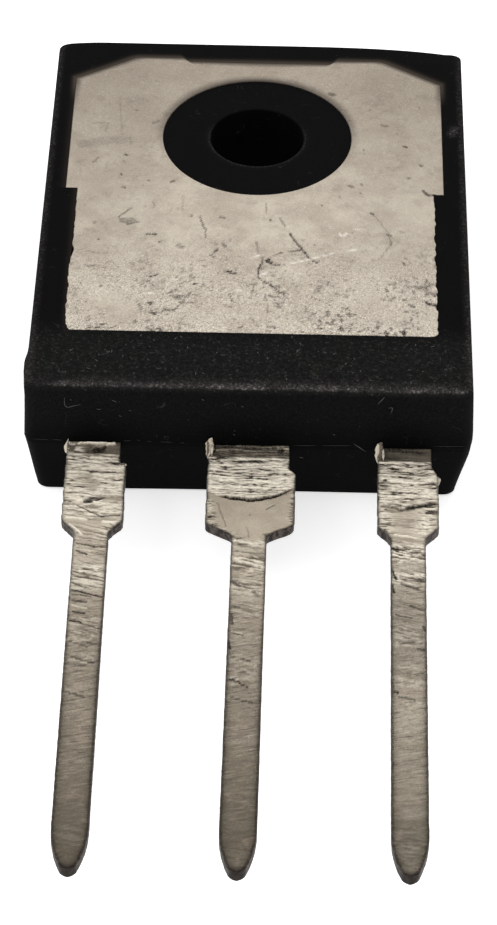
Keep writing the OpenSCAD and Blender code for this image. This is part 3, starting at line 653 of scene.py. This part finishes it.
def drain_relief(x, s):
    """Drain lead: the scraped metal is pushed into a lip that hangs over the smooth part
    along an arc, with a groove under it blackened as painted shadow; below the arc the plating is smooth up to the
    rubbed edges and shoulders."""
    u, v = jolted(x, s, 71, 0.5)
    arc = 2.8 - 0.208 * (x + 0.15) ** 2 + 0.03 * grain(x, 0 * x, 0.3, 1, 70) + 0.02 * grain(x, 0 * x, 0.1, 1, 71)
    height, soil, crest = scraped(x, s, 74, 0.02)
    above = 1 - ease(s, arc - 0.02, arc + 0.02)
    open_ends = ease(x, -1.25, -0.8) * (1 - 0.6 * ease(x, 1.2, 1.5))
    lip = above * np.exp(-np.clip(arc - s, 0, 9) / 0.35)
    height = height * above * (1 - 0.3 * lip) + 0.08 * lip * open_ends
    crest = above * np.maximum(0.46 + 0.54 * crest, 0.85 * lip) * ease(s, 0.58, 0.7)
    gape = 0.025 + 0.065 * np.clip(1 - (x / 1.25) ** 2, 0, 1)
    # painted shadow: the groove under the lip blackened
    groove_and_shadow = ease(s, arc - 0.015, arc) * (1 - ease(s, arc + gape, arc + gape + 0.03)) * open_ends
    height -= 0.07 * groove_and_shadow * (1 - above)
    soil = np.maximum(soil * above * (1 - 0.5 * lip), groove_and_shadow)
    rubbed = np.maximum(stroke(u, v, [(-1.45, 2.8), (-1.3, 4.1)], 0.15), stroke(u, v, [(-1.25, 4.25), (-0.4, 4.85)], 0.17))
    rubbed = np.maximum(rubbed, np.maximum(stroke(u, v, [(0.65, 4.6), (1.45, 4.35)], 0.16), 0.8 * stroke(u, v, [(1.5, 2.5), (1.45, 3.9)], 0.13)))
    scab = grain(u, v, 0.3, 0.045, 75) + 0.6 * grain(x, s, 0.08, 0.035, 76)
    height += 0.03 * scab * rubbed
    soil = np.maximum(soil, rubbed * ease(-scab, 0.15, 0.6))
    crest = np.maximum(crest, 0.7 * rubbed * ease(scab, 0.1, 0.7))
    for part, add in zip((height, soil, crest), slanted(x, s, 90)):
        part += 0.8 * add * ease(s, 4.7, 5.1)
    band = 1 - ease(s, 0.55, 0.66)
    height -= 0.03 * band
    soil = np.maximum(soil * (1 - band), band * (0.56 + 0.4 * grain(x, s, 0.6, 0.07, 78) - 0.25 * ease(x, 0.9, 1.2)))
    height, soil = incised(u, v, height, soil, [
        ([(0.54, 3.31), (0.81, 3.08)], 0.025, 0.5), ([(-1.14, 3.02), (-0.8, 4.19)], 0.022, 0.4),
        ([(-0.1, 4.2), (0.0, 4.7)], 0.025, 0.3), ([(0.98, 0.24), (1.08, 0.25)], 0.1, 1.0),
        ([(0.0, 3.6), (0.02, 3.6)], 0.035, 0.5), ([(-1.2, 0.1), (0.6, 0.12)], 0.05, 0.9),
        ([(-0.55, 5.11), (-0.05, 5.06)], 0.03, 0.6), ([(-0.46, 5.42), (0.58, 5.52)], 0.03, 0.5),
        ([(-0.45, 5.94), (0.05, 6.15)], 0.04, 0.6), ([(-0.52, 6.87), (-0.26, 7.09)], 0.06, 0.7),
        ([(0.21, 7.37), (0.32, 7.47)], 0.07, 0.4), ([(-0.51, 8.05), (-0.23, 8.11)], 0.05, 0.5),
        ([(-0.53, 8.49), (-0.46, 8.92)], 0.07, 0.7), ([(-0.57, 9.64), (-0.5, 10.1)], 0.06, 1.0),
        ([(-0.45, 9.36), (-0.09, 9.44)], 0.03, 0.7), ([(-0.44, 10.49), (-0.16, 10.52), (0.17, 10.65)], 0.04, 0.7),
        ([(-0.46, 11.48), (-0.18, 11.61), (0.12, 11.82)], 0.045, 0.85), ([(-0.41, 12.27), (-0.01, 12.44), (0.52, 12.59)], 0.04, 0.6),
        ([(0.5, 10.8), (0.55, 12.3)], 0.06, 0.5)], 0.02)
    light = np.maximum(stroke(u, v, [(-0.45, 9.28), (-0.12, 9.34)], 0.03), stroke(u, v, [(-0.5, 11.4), (-0.2, 11.5)], 0.03))
    return height, soil, np.maximum(crest, 0.5 * light)


def source_relief(x, s):
    """Source lead: ridges down to a ragged lip, torn open in its right half, with the groove under the lip blackened as
    painted shadow; below it both edges stay ridged round a smoother middle, and one bright scratch crosses the slope."""
    u, v = jolted(x, s, 81, 0.5)
    arc = 2.98 + 0.2 * np.exp(-((x + 0.28) / 0.28) ** 2) - 0.15 * ease(x, 0.3, 0.85) + 0.05 * grain(x, 0 * x, 0.22, 1, 80)
    height, soil, crest = scraped(x, s, 84, 0.03)
    above = 1 - ease(s, arc - 0.02, arc + 0.02)
    lip = above * np.exp(-np.clip(arc - s, 0, 9) / 0.3)
    sides = np.maximum(stroke(u, v, [(-0.9, 3.1), (-0.8, 4.2)], 0.28), stroke(u, v, [(0.85, 3.0), (0.55, 4.2)], 0.36))
    below = (1 - above) * (0.2 + 0.75 * sides) * (1 - 0.6 * ease(s, 4.4, 4.8))
    grip = above * ease(s, 0.62, 0.72) + below
    height = height * grip * (1 - 0.5 * lip) + 0.08 * lip
    soil, crest = soil * grip * (1 - 0.5 * lip), (0.25 + 0.75 * crest) * grip
    # painted shadow in the groove under the lip, with the tears in its right half
    groove_and_shadow = ease(s, arc - 0.02, arc) * (1 - ease(s, arc + 0.04, arc + 0.07)) * (0.6 + 0.4 * ease(x, -0.1, 0.05))
    groove_and_shadow = np.maximum(groove_and_shadow, np.maximum(stroke(u, v, [(-0.04, 3.1), (0.16, 3.03)], 0.095), stroke(u, v, [(0.34, 3.0), (0.79, 2.88)], 0.06)))
    height -= 0.05 * groove_and_shadow
    soil = np.maximum(soil, groove_and_shadow * (1 - ease(np.abs(x), 0.9, 1.0)))
    for part, add in zip((height, soil, crest), slanted(x, s, 100)):
        part += add * ease(s, 4.7, 5.1)
    flash = np.maximum(stroke(u, v, [(-0.45, 4.44), (0.1, 4.53), (0.68, 4.68)], 0.045), 0.6 * stroke(u, v, [(-0.2, 4.75), (0.6, 4.95)], 0.04))
    flash = np.maximum(flash, 0.6 * stroke(u, v, [(0.3, 3.95), (0.75, 3.6)], 0.04))
    glint = stroke(x, s, [(-0.3, 5.3), (0.1, 5.4), (-0.3, 5.7)], 0.16) * ease(grain(x, s, 0.09, 0.05, 89), 0.0, 0.5)
    height, crest = height + 0.02 * flash, np.maximum(crest, np.maximum(flash, glint))
    band = 1 - ease(s, 0.62, 0.74)
    height -= 0.035 * band
    soil = np.maximum(soil * (1 - flash) * (1 - band), band * (0.6 + 0.35 * grain(x, s, 0.5, 0.08, 88)) * (1 - 0.4 * ease(x, 0.3, 0.8)))
    height, soil = incised(u, v, height, soil, [
        ([(-0.58, 6.1), (-0.42, 6.62)], 0.06, 1.0), ([(-0.56, 6.9), (-0.5, 7.25)], 0.05, 0.9),
        ([(-0.23, 6.84), (0.33, 7.08)], 0.07, 0.6), ([(0.07, 7.9), (0.58, 8.1)], 0.06, 0.6),
        ([(-0.44, 8.32), (0.12, 8.48)], 0.035, 0.7), ([(0.5, 8.87), (0.6, 9.15)], 0.06, 0.8),
        ([(0.31, 9.88), (0.56, 9.94)], 0.06, 0.7), ([(-0.5, 9.61), (0.41, 9.66)], 0.04, 0.45),
        ([(0.2, 11.05), (0.5, 11.04)], 0.035, 0.6), ([(-0.46, 11.9), (-0.38, 11.92)], 0.06, 0.9),
        ([(-0.35, 12.14), (0.2, 12.26)], 0.045, 0.7), ([(-0.3, 5.15), (0.4, 5.2)], 0.03, 0.5)], 0.02)
    light = np.maximum(stroke(u, v, [(-0.35, 10.75), (0.56, 10.86)], 0.04), stroke(u, v, [(0.2, 12.3), (0.49, 12.46)], 0.035))
    return height, soil, np.maximum(crest, 0.45 * light)


def posts(low, high, neck):
    """Edges inside the body: the bond post from 0.75 to 2.35 mm deep, the neck before it."""
    def edges(s):
        deep = s < -0.75
        return np.where(deep, low, neck[0]), np.where(deep, high, neck[1])
    return edges


post_rows = np.array([-2.35, -2.3, -1.5, -0.8, -0.76, -0.74, -0.6, -0.31])
gate = lead("gate_lead_strip", 0, 2.1, ((-0.6, -0.4), (0.97, 1.23)), posts(-6.95, -4.35, (-6.35, -4.25)),
            np.concatenate([post_rows, outside]), lambda s: np.full(s.shape, 2.375), gate_relief,
            [sliver([(-6.28, -15.3, 2.4), (-6.34, -15.1, 2.5), (-6.36, -14.95, 2.62), (-6.3, -14.88, 2.84)],
                    [0.05, 0.1, 0.1, 0.06, 0.02], 0.04, seed=31),
             sliver([(-4.55, -15.92, 2.5), (-4.42, -15.92, 2.56), (-4.3, -15.92, 2.6), (-4.21, -15.94, 2.6)],
                    [0.06, 0.09, 0.08, 0.05], 0.04, (0, 1, 0), 33)])
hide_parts("gate_lead")
drain = lead("drain_lead_strip", 1, 3.06, ((0.32, 0.58), (1.15, 1.5)), lambda s: (np.full(s.shape, AXES[1] - 1.53), np.full(s.shape, AXES[1] + 1.53)),
             np.concatenate([[-4.6, -4.5, -3.4, -2.45, -2.35, -2.25, -2.15, -2.05, -1.95, -1.85, -1.0, -0.31], outside]),
             lambda s: 2.375 + 0.4 * np.clip((-s - 1.95) / 0.4, 0, 1), drain_relief,
             [sliver([(-1.33, -15.5, 2.4), (-1.36, -15.2, 2.52), (-1.37, -14.98, 2.68), (-1.33, -14.88, 2.86), (-1.27, -14.87, 3.0)],
                     [0.05, 0.12, 0.14, 0.13, 0.1], 0.05, seed=35),
              sliver([(-1.26, -15.4, 2.6), (-1.25, -15.15, 2.72), (-1.2, -15.0, 2.8)], [0.02, 0.06, 0.03], 0.03, seed=37)])
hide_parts("drain_lead")
source = lead("source_lead_strip", 2, 2.1, ((0.37, 0.63), (0.8, 1.55)), posts(2.5, 6.95, (4.55, 6.65)),
              np.concatenate([post_rows, outside]), lambda s: np.full(s.shape, 2.375), source_relief,
              [sliver([(4.6, -15.55, 2.4), (4.58, -15.25, 2.52), (4.58, -15.0, 2.68), (4.62, -14.88, 2.84), (4.68, -14.87, 2.96)],
                      [0.05, 0.13, 0.15, 0.13, 0.08], 0.05, seed=39),
               sliver([(4.74, -15.45, 2.62), (4.73, -15.2, 2.72), (4.74, -15.02, 2.8)], [0.02, 0.06, 0.03], 0.03, seed=45),
               sliver([(6.56, -16.05, 2.5), (6.66, -16.25, 2.52), (6.64, -16.5, 2.45)], [0.03, 0.08, 0.04], 0.04, seed=47)])
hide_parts("source_lead")

worn = Finish("scraped_tin_strip")
soiled, crest, flank, along, age = (worn.mark(name) for name in ("soil", "scrape", "flank", "along", "age"))
cloud = worn.noise(1.3, 5, 0.62)
speckle = worn.noise(0.06, 3, 0.7)
cross = worn.noise(1, 3, 0.6, worn.stretched((0.6, 0.065, 0.4), -14))
torn = worn.noise(1, 3, 0.65, worn.stretched((0.26, 0.05, 0.4), -4))
thin = worn.ease(along, 4.4, 5.0)
dull_tip = 1 - 0.65 * worn.ease(along, 14.0, 18.5)
metal = worn.mix(worn.ease(cloud, 0.35, 0.66), (0.37, 0.318, 0.248), (0.47, 0.41, 0.326))
metal = worn.mix(age, metal, (0.115, 0.096, 0.069))
tint = worn.noise(0.6, 3, 0.6)
metal = worn.mix(worn.ease(tint, 0.52, 0.7) * 0.3, metal, (0.40, 0.31, 0.25))
metal = worn.mix(worn.ease(cross, 0.54, 0.68) * thin * (0.5 - 0.22 * age) * dull_tip, metal, (0.56, 0.497, 0.405))
metal = worn.mix(worn.ease(cross, 0.47, 0.33) * thin * 0.7 * dull_tip, metal, (0.085, 0.07, 0.057))
# bright scraped metal, with painted highlight on the ridge crests
metal = worn.mix(crest * (0.8 + 0.2 * worn.ease(speckle, 0.4, 0.6)), metal, (0.93, 0.86, 0.725))
metal = worn.mix(worn.ease(torn, 0.47, 0.36) * crest * 0.55, metal, (0.20, 0.165, 0.13))
metal = worn.mix(worn.ease(speckle, 0.45, 0.30) * (0.25 + 0.35 * thin) * dull_tip, metal, (0.14, 0.115, 0.095))
metal = worn.mix(worn.ease(speckle, 0.57, 0.72) * 0.35 * dull_tip, metal, (0.66, 0.594, 0.495))
# soil on the leads: grime and pits, the painted shade of the furrows and of the grooves under the lips, and the darker
# edges
metal = worn.mix(soiled * (0.8 + 0.35 * worn.ease(speckle, 0.6, 0.4)), metal, (0.022, 0.017, 0.013))
# painted shade: the side faces and underside far darker than the top
side = worn.mix(worn.ease(worn.noise(0.16, 4, 0.7), 0.42, 0.62), (0.018, 0.014, 0.012), (0.085, 0.07, 0.06))
metal = worn.mix(worn.ease(flank, 0.02, 0.6), metal, side)
metal = worn.mix(worn.ease(along, 19.5, 19.8) * 0.75, metal, (0.02, 0.016, 0.013))
fine = worn.relief(cross * thin, 0.012)
fine = worn.relief(speckle, 0.010, fine)
strip_finish = worn.paint(Base_Color=metal, Normal=fine, Metallic=0.9 - 0.55 * crest,
                          Roughness=0.42 + 0.15 * cloud + 0.2 * soiled + 0.1 * age + 0.15 * crest)
for piece in (gate, drain, source):
    piece.data.materials.append(strip_finish)


# ---- Chip, its solder and the bond wires -------------------------------------------------------
# Sealed in the compound: a polished silicon chip soldered to the tab, one thin aluminium wire to
# the gate post and three thick ones to the source post, each welded by ultrasound.

solder = Finish("soft_solder", Metallic=0.85)
dross = solder.noise(0.5, 5, 0.6)
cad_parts["die_attach_solder"].data.materials.clear()
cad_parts["die_attach_solder"].data.materials.append(solder.paint(
    Base_Color=solder.mix(solder.ease(dross, 0.35, 0.7), (0.36, 0.37, 0.38), (0.52, 0.53, 0.53)),
    Roughness=0.35 + 0.3 * dross, Normal=solder.relief(dross, 0.01)))

silicon = Finish("polished_silicon", Metallic=0.35, Coat_Weight=0.4)
haze = silicon.noise(2.4, 3, 0.5)
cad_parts["silicon_chip"].data.materials.clear()
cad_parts["silicon_chip"].data.materials.append(silicon.paint(
    Base_Color=silicon.mix(haze, (0.07, 0.08, 0.1), (0.14, 0.15, 0.18)),
    Roughness=0.12 + 0.12 * haze, Normal=silicon.relief(silicon.noise(0.09, 2), 0.001)))

wire = Finish("drawn_aluminium", Metallic=1.0)
drawn = wire.noise(1, 4, 0.6, wire.stretched((0.05, 0.9, 0.05), 12))
wire_finish = wire.paint(
    Base_Color=wire.mix(wire.ease(drawn, 0.3, 0.7), (0.62, 0.63, 0.65), (0.8, 0.81, 0.82)),
    Roughness=0.25 + 0.2 * drawn, Normal=wire.relief(drawn, 0.004))
for name in ("gate_bond_wire", "source_bond_wires"):
    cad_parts[name].data.materials.clear()
    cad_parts[name].data.materials.append(wire_finish)


# ---- Moulded body ------------------------------------------------------------------------------
# Black epoxy compound, moulded round everything in a two-part tool: both halves are drafted and
# meet in a fine line level with the leads. It also forms the sleeve in the mounting hole. It is
# matt and dusty, its back edge at the leads is scuffed, and one back corner is worn down.

PART_Z = 2.6
BACK, FLANK, SIDE, END = np.tan(np.radians([3.0, 2.2, 10.0, 9.0]))


def body_outline(side_in, end_in, corner):
    """Rectangle of the parting line pulled in at the sides and ends, with round corners."""
    x, high, low = 7.9 - side_in - corner, 6.1 - end_in - corner, END_Y + end_in + corner
    turn = np.radians(np.linspace(0, 90, 9))
    arcs = [(x, high, 0), (-x, high, 1), (-x, low, 2), (x, low, 3)]
    return np.vstack([np.stack([cx + corner * np.cos(turn + k * np.pi / 2),
                                cy + corner * np.sin(turn + k * np.pi / 2)], 1) for cx, cy, k in arcs])


notch_y = 1.8 * np.sin(np.linspace(-np.pi / 2, np.pi / 2, 15))
notch = [np.column_stack([np.full(15, side * 7.3), notch_y]) for side in (1, -1)]
angles = bearings(walk(body_outline(0, 0, 0.4), 0.13), PAD, *notch)
around = np.stack([np.cos(angles), np.sin(angles)], 1)
pocket, deep_pocket = hits(angles, PAD), hits(angles, PLATE) * 1.002


def body_row(z, side_in, end_in, corner=0.4, notched=False):
    """Outline at height z. A notch keeps |x| within 7.9 - sqrt(1.8^2 - y^2)."""
    flat = hits(angles, body_outline(side_in, end_in, corner))
    if notched:
        limit = 7.9 - np.sqrt(np.maximum(1.8 ** 2 - flat[:, 1] ** 2, 0))
        flat[:, 0] = np.where(np.abs(flat[:, 1]) < 1.8, np.sign(flat[:, 0]) * np.minimum(np.abs(flat[:, 0]), limit), flat[:, 0])
    return np.column_stack([flat, np.full(len(flat), z)])


def between(a, b, shares):
    """Rows a share of the way from row a to row b."""
    return [a * (1 - t) + b * t for t in shares]


def circle_row(r, z):
    return np.column_stack([r * around, np.full(len(around), z)])


curl = np.radians(np.linspace(0, 90, 5))
back_r, front_r, lip_r = 0.13, 0.12, 0.06
shelf = np.column_stack([pocket, np.full(len(pocket), 4.985)])
edge_top = body_row(5.0 - 0.015, FLANK * (5 - PART_Z) + back_r, BACK * (5 - PART_Z) + back_r)
rows = between(shelf, edge_top, np.linspace(0, 1, 16)[:-1] ** 1.5)
rows += [body_row(4.985 - back_r * (1 - np.cos(a)), FLANK * (5 - PART_Z) + back_r * (1 - np.sin(a)),
                  BACK * (5 - PART_Z) + back_r * (1 - np.sin(a))) for a in curl]
edge_rows = len(rows)
rows += [body_row(z, FLANK * (z - PART_Z), BACK * (z - PART_Z)) for z in np.linspace(4.85, 2.66, 16)[1:]]
rows += [body_row(2.63, -0.0, -0.0), body_row(2.6, -0.0, -0.0), body_row(2.57, 0.015, 0.015)]
rows += [body_row(z, SIDE * (PART_Z - z), END * (PART_Z - z)) for z in (2.54, 2.4, 2.25, 2.1, 2.0)]
rows += [body_row(z, SIDE * (PART_Z - z), END * (PART_Z - z), notched=True) for z in np.linspace(1.96, front_r, 13)]
rows += [body_row(front_r * (1 - np.sin(a)), SIDE * PART_Z - 0.03 + front_r * (1 - np.cos(a)),
                  END * PART_Z - 0.02 + front_r * (1 - np.cos(a)), notched=True) for a in curl[1:]]
rows += between(rows[-1], circle_row(1.75 + lip_r, 0), np.linspace(0, 1, 17)[1:])
front_rows = len(rows)
rows += [circle_row(1.75 + lip_r * (1 - np.sin(a)), lip_r * (1 - np.cos(a))) for a in curl[1:]]
rows += [circle_row(1.75, z) for z in np.linspace(0.3, 4.7, 12)]
rows += [circle_row(1.75 + lip_r * (1 - np.cos(a)), 4.95 - lip_r * (1 - np.sin(a))) for a in curl]
rows += [circle_row(r, 4.95) for r in np.linspace(1.89, SLEEVE_R - 0.03, 12)]
rows += [circle_row(SLEEVE_R - 0.005, 4.9), circle_row(SLEEVE_R - 0.005, 3.0)]
rows += [np.column_stack([deep_pocket, np.full(len(angles), z)]) for z in (2.99, 4.31)]
rows += [np.column_stack([pocket, np.full(len(angles), z)]) for z in (4.32, 4.95)]
body = np.array(rows)

# wear of the back edges: one corner pulled down, a lump of flash on the other side's corner
x, y, z = body[..., 0], body[..., 1], body[..., 2]
high = ease(z, 2.7, 4.9)
outer = np.arange(len(rows))[:, None] < edge_rows + 16
pulled = 0.335 * np.clip((x - 0.3) / 6.9, 0, 1) ** 3.5 + 0.12 * np.clip((-x - 6.0) / 1.5, 0, 1) ** 2
droop = pulled * np.clip((y - 4.95) / 1.0, 0, 1) * high * outer
lump = 0.13 * np.exp(-((y + 13.4) / 0.55) ** 2) * ease(-x, 7.0, 7.75) * ease(z, 3.4, 4.5) * outer
chips = ease(-y, 14.35, 14.6) * ease(z, 4.7, 4.95) * outer
nibble = np.clip(grain(x, z, 0.33, 0.5, 30) + 0.7 * grain(x, z, 0.12, 0.5, 31), 0, 2) * 0.045 * chips
lower_shift = 0.073 * ease(PART_Z - z, 0, 2.5) * ease(np.abs(x), 2.5, 6.5) * (np.arange(len(rows))[:, None] < front_rows)
worn_corner = 0.06 * np.exp(-((z - 2.55) / 0.3) ** 2) * ease(x, 7.3, 7.8) * ease(-y, 14.0, 14.6)
worn_edge = 0.12 * ease(z, 3.6, 4.9) * ease(-y, 14.2, 14.5) * outer
body[..., 0] = np.clip(body[..., 0] - lump - lower_shift - worn_corner, -7.895, 7.895)
left_low = 0.045 * ease(PART_Z - z, 0.6, 2.4) * ease(-x, 1.0, 6.0) * ease(-y, 13.0, 14.0) * (np.arange(len(rows))[:, None] < front_rows)
body[..., 1] += nibble - droop + worn_edge - left_low
body[..., 2] -= 0.8 * nibble + 0.12 * droop
broken = ease(grain(x, 0 * x, 0.5, 1, 33) + 0.6 * grain(x, 0 * x, 0.14, 1, 34), -0.6, 0.5)
edge_line = np.exp(-((z - 4.963) / 0.034) ** 2) * ease(-y, 14.33, 14.37) * outer * (0.45 + 0.55 * broken) * ease(x, -7.4, -6.3)
haze = 0.22 * ease(-y, 13.9, 14.4) * ease(z, 4.9, 4.95) * ease(grain(x, y, 1.7, 0.9, 32), -0.5, 0.5) * outer
# lighter band along both side back edges
rims = 0.16 * ease(z, 4.86, 4.97) * ease(np.abs(x), 7.5, 7.7) * outer
# painted highlight: a thin light ring on the lip of the hole, away from its upper side
hole_rim_highlight = 0.15 * np.exp(-((np.hypot(x, y) - 1.82) / 0.05) ** 2) * ease(0.7 * np.abs(x) - y, 0.0, 1.2) * (z > 4.8)
smudge = 0.35 * stroke(x, y, [(7.35, 0.4), (7.5, 0.75)], 0.16) * (z > 4.9)
scuff = np.max([edge_line, haze, rims, hole_rim_highlight, smudge], axis=0)


def wall_point(x, z):
    """A point just in front of the end wall's upper half."""
    return x, END_Y + BACK * (z - PART_Z) - 0.008, z


lint_draw = np.random.default_rng(77)


def lint(x, y):
    """Short bent fibre lying on the back at a place."""
    turn, bend = lint_draw.uniform(0, 6.3), lint_draw.uniform(-1.2, 1.2)
    path = [(x, y, 4.985)]
    for step in lint_draw.uniform(0.03, 0.10, 2):
        path.append((path[-1][0] + step * np.cos(turn), path[-1][1] + step * np.sin(turn), 4.985))
        turn += bend
    return path


fibres = [[wall_point(*spot) for spot in path] for path in (
    [(-6.41, 4.55), (-6.43, 4.21), (-6.32, 4.09), (-6.13, 4.18), (-5.86, 4.24)],
    [(3.69, 2.76), (3.9, 2.6), (4.14, 2.4)], [(4.48, 4.54), (4.6, 4.7), (4.71, 4.85)],
    [(4.86, 4.38), (5.02, 4.4), (4.95, 4.14)], [(-0.25, 4.33), (-0.17, 4.28)], [(-4.54, 3.8), (-4.44, 3.75)],
    [(-4.76, 4.47), (-4.6, 4.39)], [(-1.64, 4.6), (-1.55, 4.54)], [(-5.3, 4.06), (-5.15, 4.05)],
    [(-0.53, 3.07), (-0.45, 3.02)], [(-0.5, 3.24), (-0.46, 3.21)], [(1.79, 2.1), (1.95, 2.07)],
    [(-6.22, 4.46), (-6.17, 4.43)], [(-4.16, 4.04), (-4.1, 4.02)], [(2.96, 3.16), (3.04, 3.12)])]
seams = [[wall_point(*spot) for spot in path] for path in (
    [(-7.56, 2.67), (-7.3, 2.665), (-7.0, 2.66)], [(-6.9, 2.66), (-6.54, 2.65)], [(-4.39, 2.67), (-4.1, 2.69)],
    [(-3.9, 2.72), (-3.8, 2.7)], [(-3.55, 2.68), (-3.4, 2.66)], [(-3.1, 2.66), (-2.64, 2.65)], [(-2.36, 2.63), (-2.25, 2.64)],
    [(1.6, 2.62), (2.4, 2.64)], [(2.6, 2.65), (3.6, 2.67)], [(6.5, 2.72), (7.6, 2.74)])]
fibres += [lint(x, y) for x, y in (
    (0.26, -12.5), (0.64, -12.9), (2.68, -12.51), (2.89, -12.58), (3.38, -12.98), (3.67, -12.8), (3.86, -13.46), (3.75, -13.95),
    (1.27, -13.87), (5.45, -14.22), (5.62, -14.05), (5.8, -11.99), (6.34, -12.05), (6.11, -13.38), (1.43, -11.71), (1.71, -11.96),
    (-6.36, -12.63), (-5.07, -12.63), (-4.86, -12.54), (-4.47, -12.82), (-5.42, -13.1), (-5.56, -13.6), (-3.6, -13.0), (-3.87, -11.8),
    (-3.43, -11.95), (-2.68, -11.93), (-2.41, -11.8), (-2.18, -12.41), (-1.87, -13.64), (-1.65, -13.72), (-1.2, -12.63), (-1.04, -12.71))]
shells = [(sliver(path, [0.015, 0.015], 0.009, seed=k, rows=20, columns=6), False) for k, path in enumerate(fibres)]
shells += [(sliver(path, [0.007, 0.007], 0.009, seed=k, rows=20, columns=6), False) for k, path in enumerate(seams)]
paleness = [0.75 if k < 15 else 1.0 for k in range(len(fibres))] + [0.5] * len(seams)
pad_edge = np.linalg.norm(body[..., :2] - pocket, axis=2)
# painted glow: a brownish halo on the compound just outside the pad's upper edges and a little along its left side, as
# the pad's light spreading
stain = np.exp(-(pad_edge / 0.17) ** 2) * (z > 4.95) * (ease(y, 2.0, 3.4) + 0.2 * ease(-x, 6.2, 6.6)) * outer
shell = skin("moulded_case", [(body, True)] + shells, {
    "scuff": [scuff] + [np.zeros(f.shape[:2]) for f, _ in shells],
    "stain": [np.clip(stain, 0, 1)] + [np.zeros(f.shape[:2]) for f, _ in shells],
    "lint": [np.zeros(scuff.shape)] + [np.full(f.shape[:2], pale) for (f, _), pale in zip(shells, paleness)]}, 38)

epoxy = Finish("black_moulding_compound", Specular_IOR_Level=0.035)
scuff_and_highlight_mark, fluff, painted_halo_mark = epoxy.mark("scuff"), epoxy.mark("lint"), epoxy.mark("stain")
matt = epoxy.noise(0.07, 3, 0.6)
patches = epoxy.noise(2.2, 4, 0.6)
crumbs = epoxy.ease(epoxy.noise(0.09, 3, 0.75), 0.49, 0.64)
motes = epoxy.ease(epoxy.cells(0.3), 0.11, 0.05) * epoxy.ease(
    epoxy.node("ShaderNodeSeparateColor", {}, {0: epoxy.cells(0.3, output="Color")}), 0.7, 0.95)
curlies = epoxy.ease(abs(epoxy.noise(0.7, 1.5, 0.4, twist=0.3) - 0.5), 0.006, 0.002) * epoxy.ease(epoxy.noise(0.5, 1, 0.5), 0.62, 0.66)
place_y = epoxy.node("ShaderNodeSeparateXYZ", {}, {0: epoxy.place}, "Y")
place_z = epoxy.node("ShaderNodeSeparateXYZ", {}, {0: epoxy.place}, "Z")
low_strip = epoxy.ease(place_y, -10.8, -12.4) * epoxy.ease(place_z, 4.7, 4.9)
# painted light: the upper half of the end wall lighter than the lower
upper_wall = epoxy.ease(place_z, 2.3, 4.2) * epoxy.ease(place_y, -14.3, -14.5)
dust = epoxy.noise(0.12, 4, 0.75, twist=0.8)
black = epoxy.mix(epoxy.ease(patches, 0.3, 0.7), (0.0006, 0.0006, 0.0007), (0.0016, 0.0016, 0.0015))
black = epoxy.mix(upper_wall * (0.35 + 0.45 * epoxy.ease(matt, 0.4, 0.6)), black, (0.0068, 0.0068, 0.0072))
black = epoxy.mix(low_strip * (0.2 + 0.5 * epoxy.ease(dust, 0.4, 0.6)), black, (0.0125, 0.0125, 0.0115))
black = epoxy.mix(low_strip * epoxy.ease(dust, 0.575, 0.675) * 0.7, black, (0.05, 0.05, 0.045))
black = epoxy.mix(epoxy.ease(matt, 0.60, 0.8) * 0.12, black, (0.03, 0.03, 0.03))
# scuffs, and the painted highlight on the hole's lip, lightened
black = epoxy.mix(scuff_and_highlight_mark * (0.16 + 0.84 * crumbs), black, (0.225, 0.2, 0.195))
black = epoxy.mix(motes * (0.15 + 0.3 * low_strip), black, (0.12, 0.12, 0.11))
black = epoxy.mix(curlies * (0.12 + 0.34 * low_strip), black, (0.12, 0.12, 0.11))
# painted glow beside the pad's upper edges
black = epoxy.mix(painted_halo_mark * 0.85, black, (0.06, 0.046, 0.036))
black = epoxy.mix(fluff * 0.6, black, (0.13, 0.13, 0.12))
shell.data.materials.append(epoxy.paint(
    Base_Color=black, Roughness=0.62 + 0.15 * patches + 0.1 * scuff_and_highlight_mark,
    Normal=epoxy.relief(crumbs * scuff_and_highlight_mark, 0.02, epoxy.relief(matt, 0.012))))
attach(shell, "root")
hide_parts("moulded_body")


# ---- Table, light and camera -------------------------------------------------------------------
# A white table under one large soft box behind the part and a smaller one at its left, and the
# photograph's camera: 42 degrees down, looking along the leads at the body.

table = bpy.data.objects.new("table", bpy.data.meshes.new("table"))
table.data.from_pydata([(u * 0.9, v * 0.9, -0.00002) for u, v in ((-1, -1), (1, -1), (1, 1), (-1, 1))], [], [(0, 1, 2, 3)])
bpy.context.scene.collection.objects.link(table)
paper = Finish("white_table", Specular_IOR_Level=0.1, Emission_Color=(1, 1, 1, 1), Emission_Strength=0.55)
table.data.materials.append(paper.paint(
    Base_Color=paper.mix(paper.noise(40, 3), (0.86, 0.86, 0.86), (0.9, 0.9, 0.9)), Roughness=0.9))


def soft_box(name, where, size, power, colour=(1, 1, 1)):
    """Square area light that faces the part."""
    light = bpy.data.lights.new(name, "AREA")
    light.size, light.energy, light.color = size, power, colour
    lamp = bpy.data.objects.new(name, light)
    lamp.location = where
    lamp.rotation_euler = Vector(where).to_track_quat("Z", "Y").to_euler()
    bpy.context.scene.collection.objects.link(lamp)


soft_box("soft_box_back", (0.05, 0.42, 0.40), 0.42, 0.5)
soft_box("soft_box_left", (-0.40, -0.10, 0.42), 0.3, 0.8)
sky = bpy.data.worlds.new("studio")
sky.use_nodes = True
sky.node_tree.nodes["Background"].inputs["Color"].default_value = (1, 1, 1, 1)
sky.node_tree.nodes["Background"].inputs["Strength"].default_value = 0.9
bpy.context.scene.world = sky

camera = bpy.data.objects.new("camera", bpy.data.cameras.new("camera"))
camera.data.sensor_fit, camera.data.sensor_height, camera.data.lens = "VERTICAL", 36, 138.54
camera.data.clip_start, camera.data.clip_end = 0.005, 20
camera.location = (0.00126, -0.107734, 0.08607)
camera.rotation_euler = np.radians([47.803, -0.524, 1.241])
bpy.context.scene.collection.objects.link(camera)
bpy.context.scene.camera = camera
bpy.context.scene.view_settings.view_transform = "Standard"
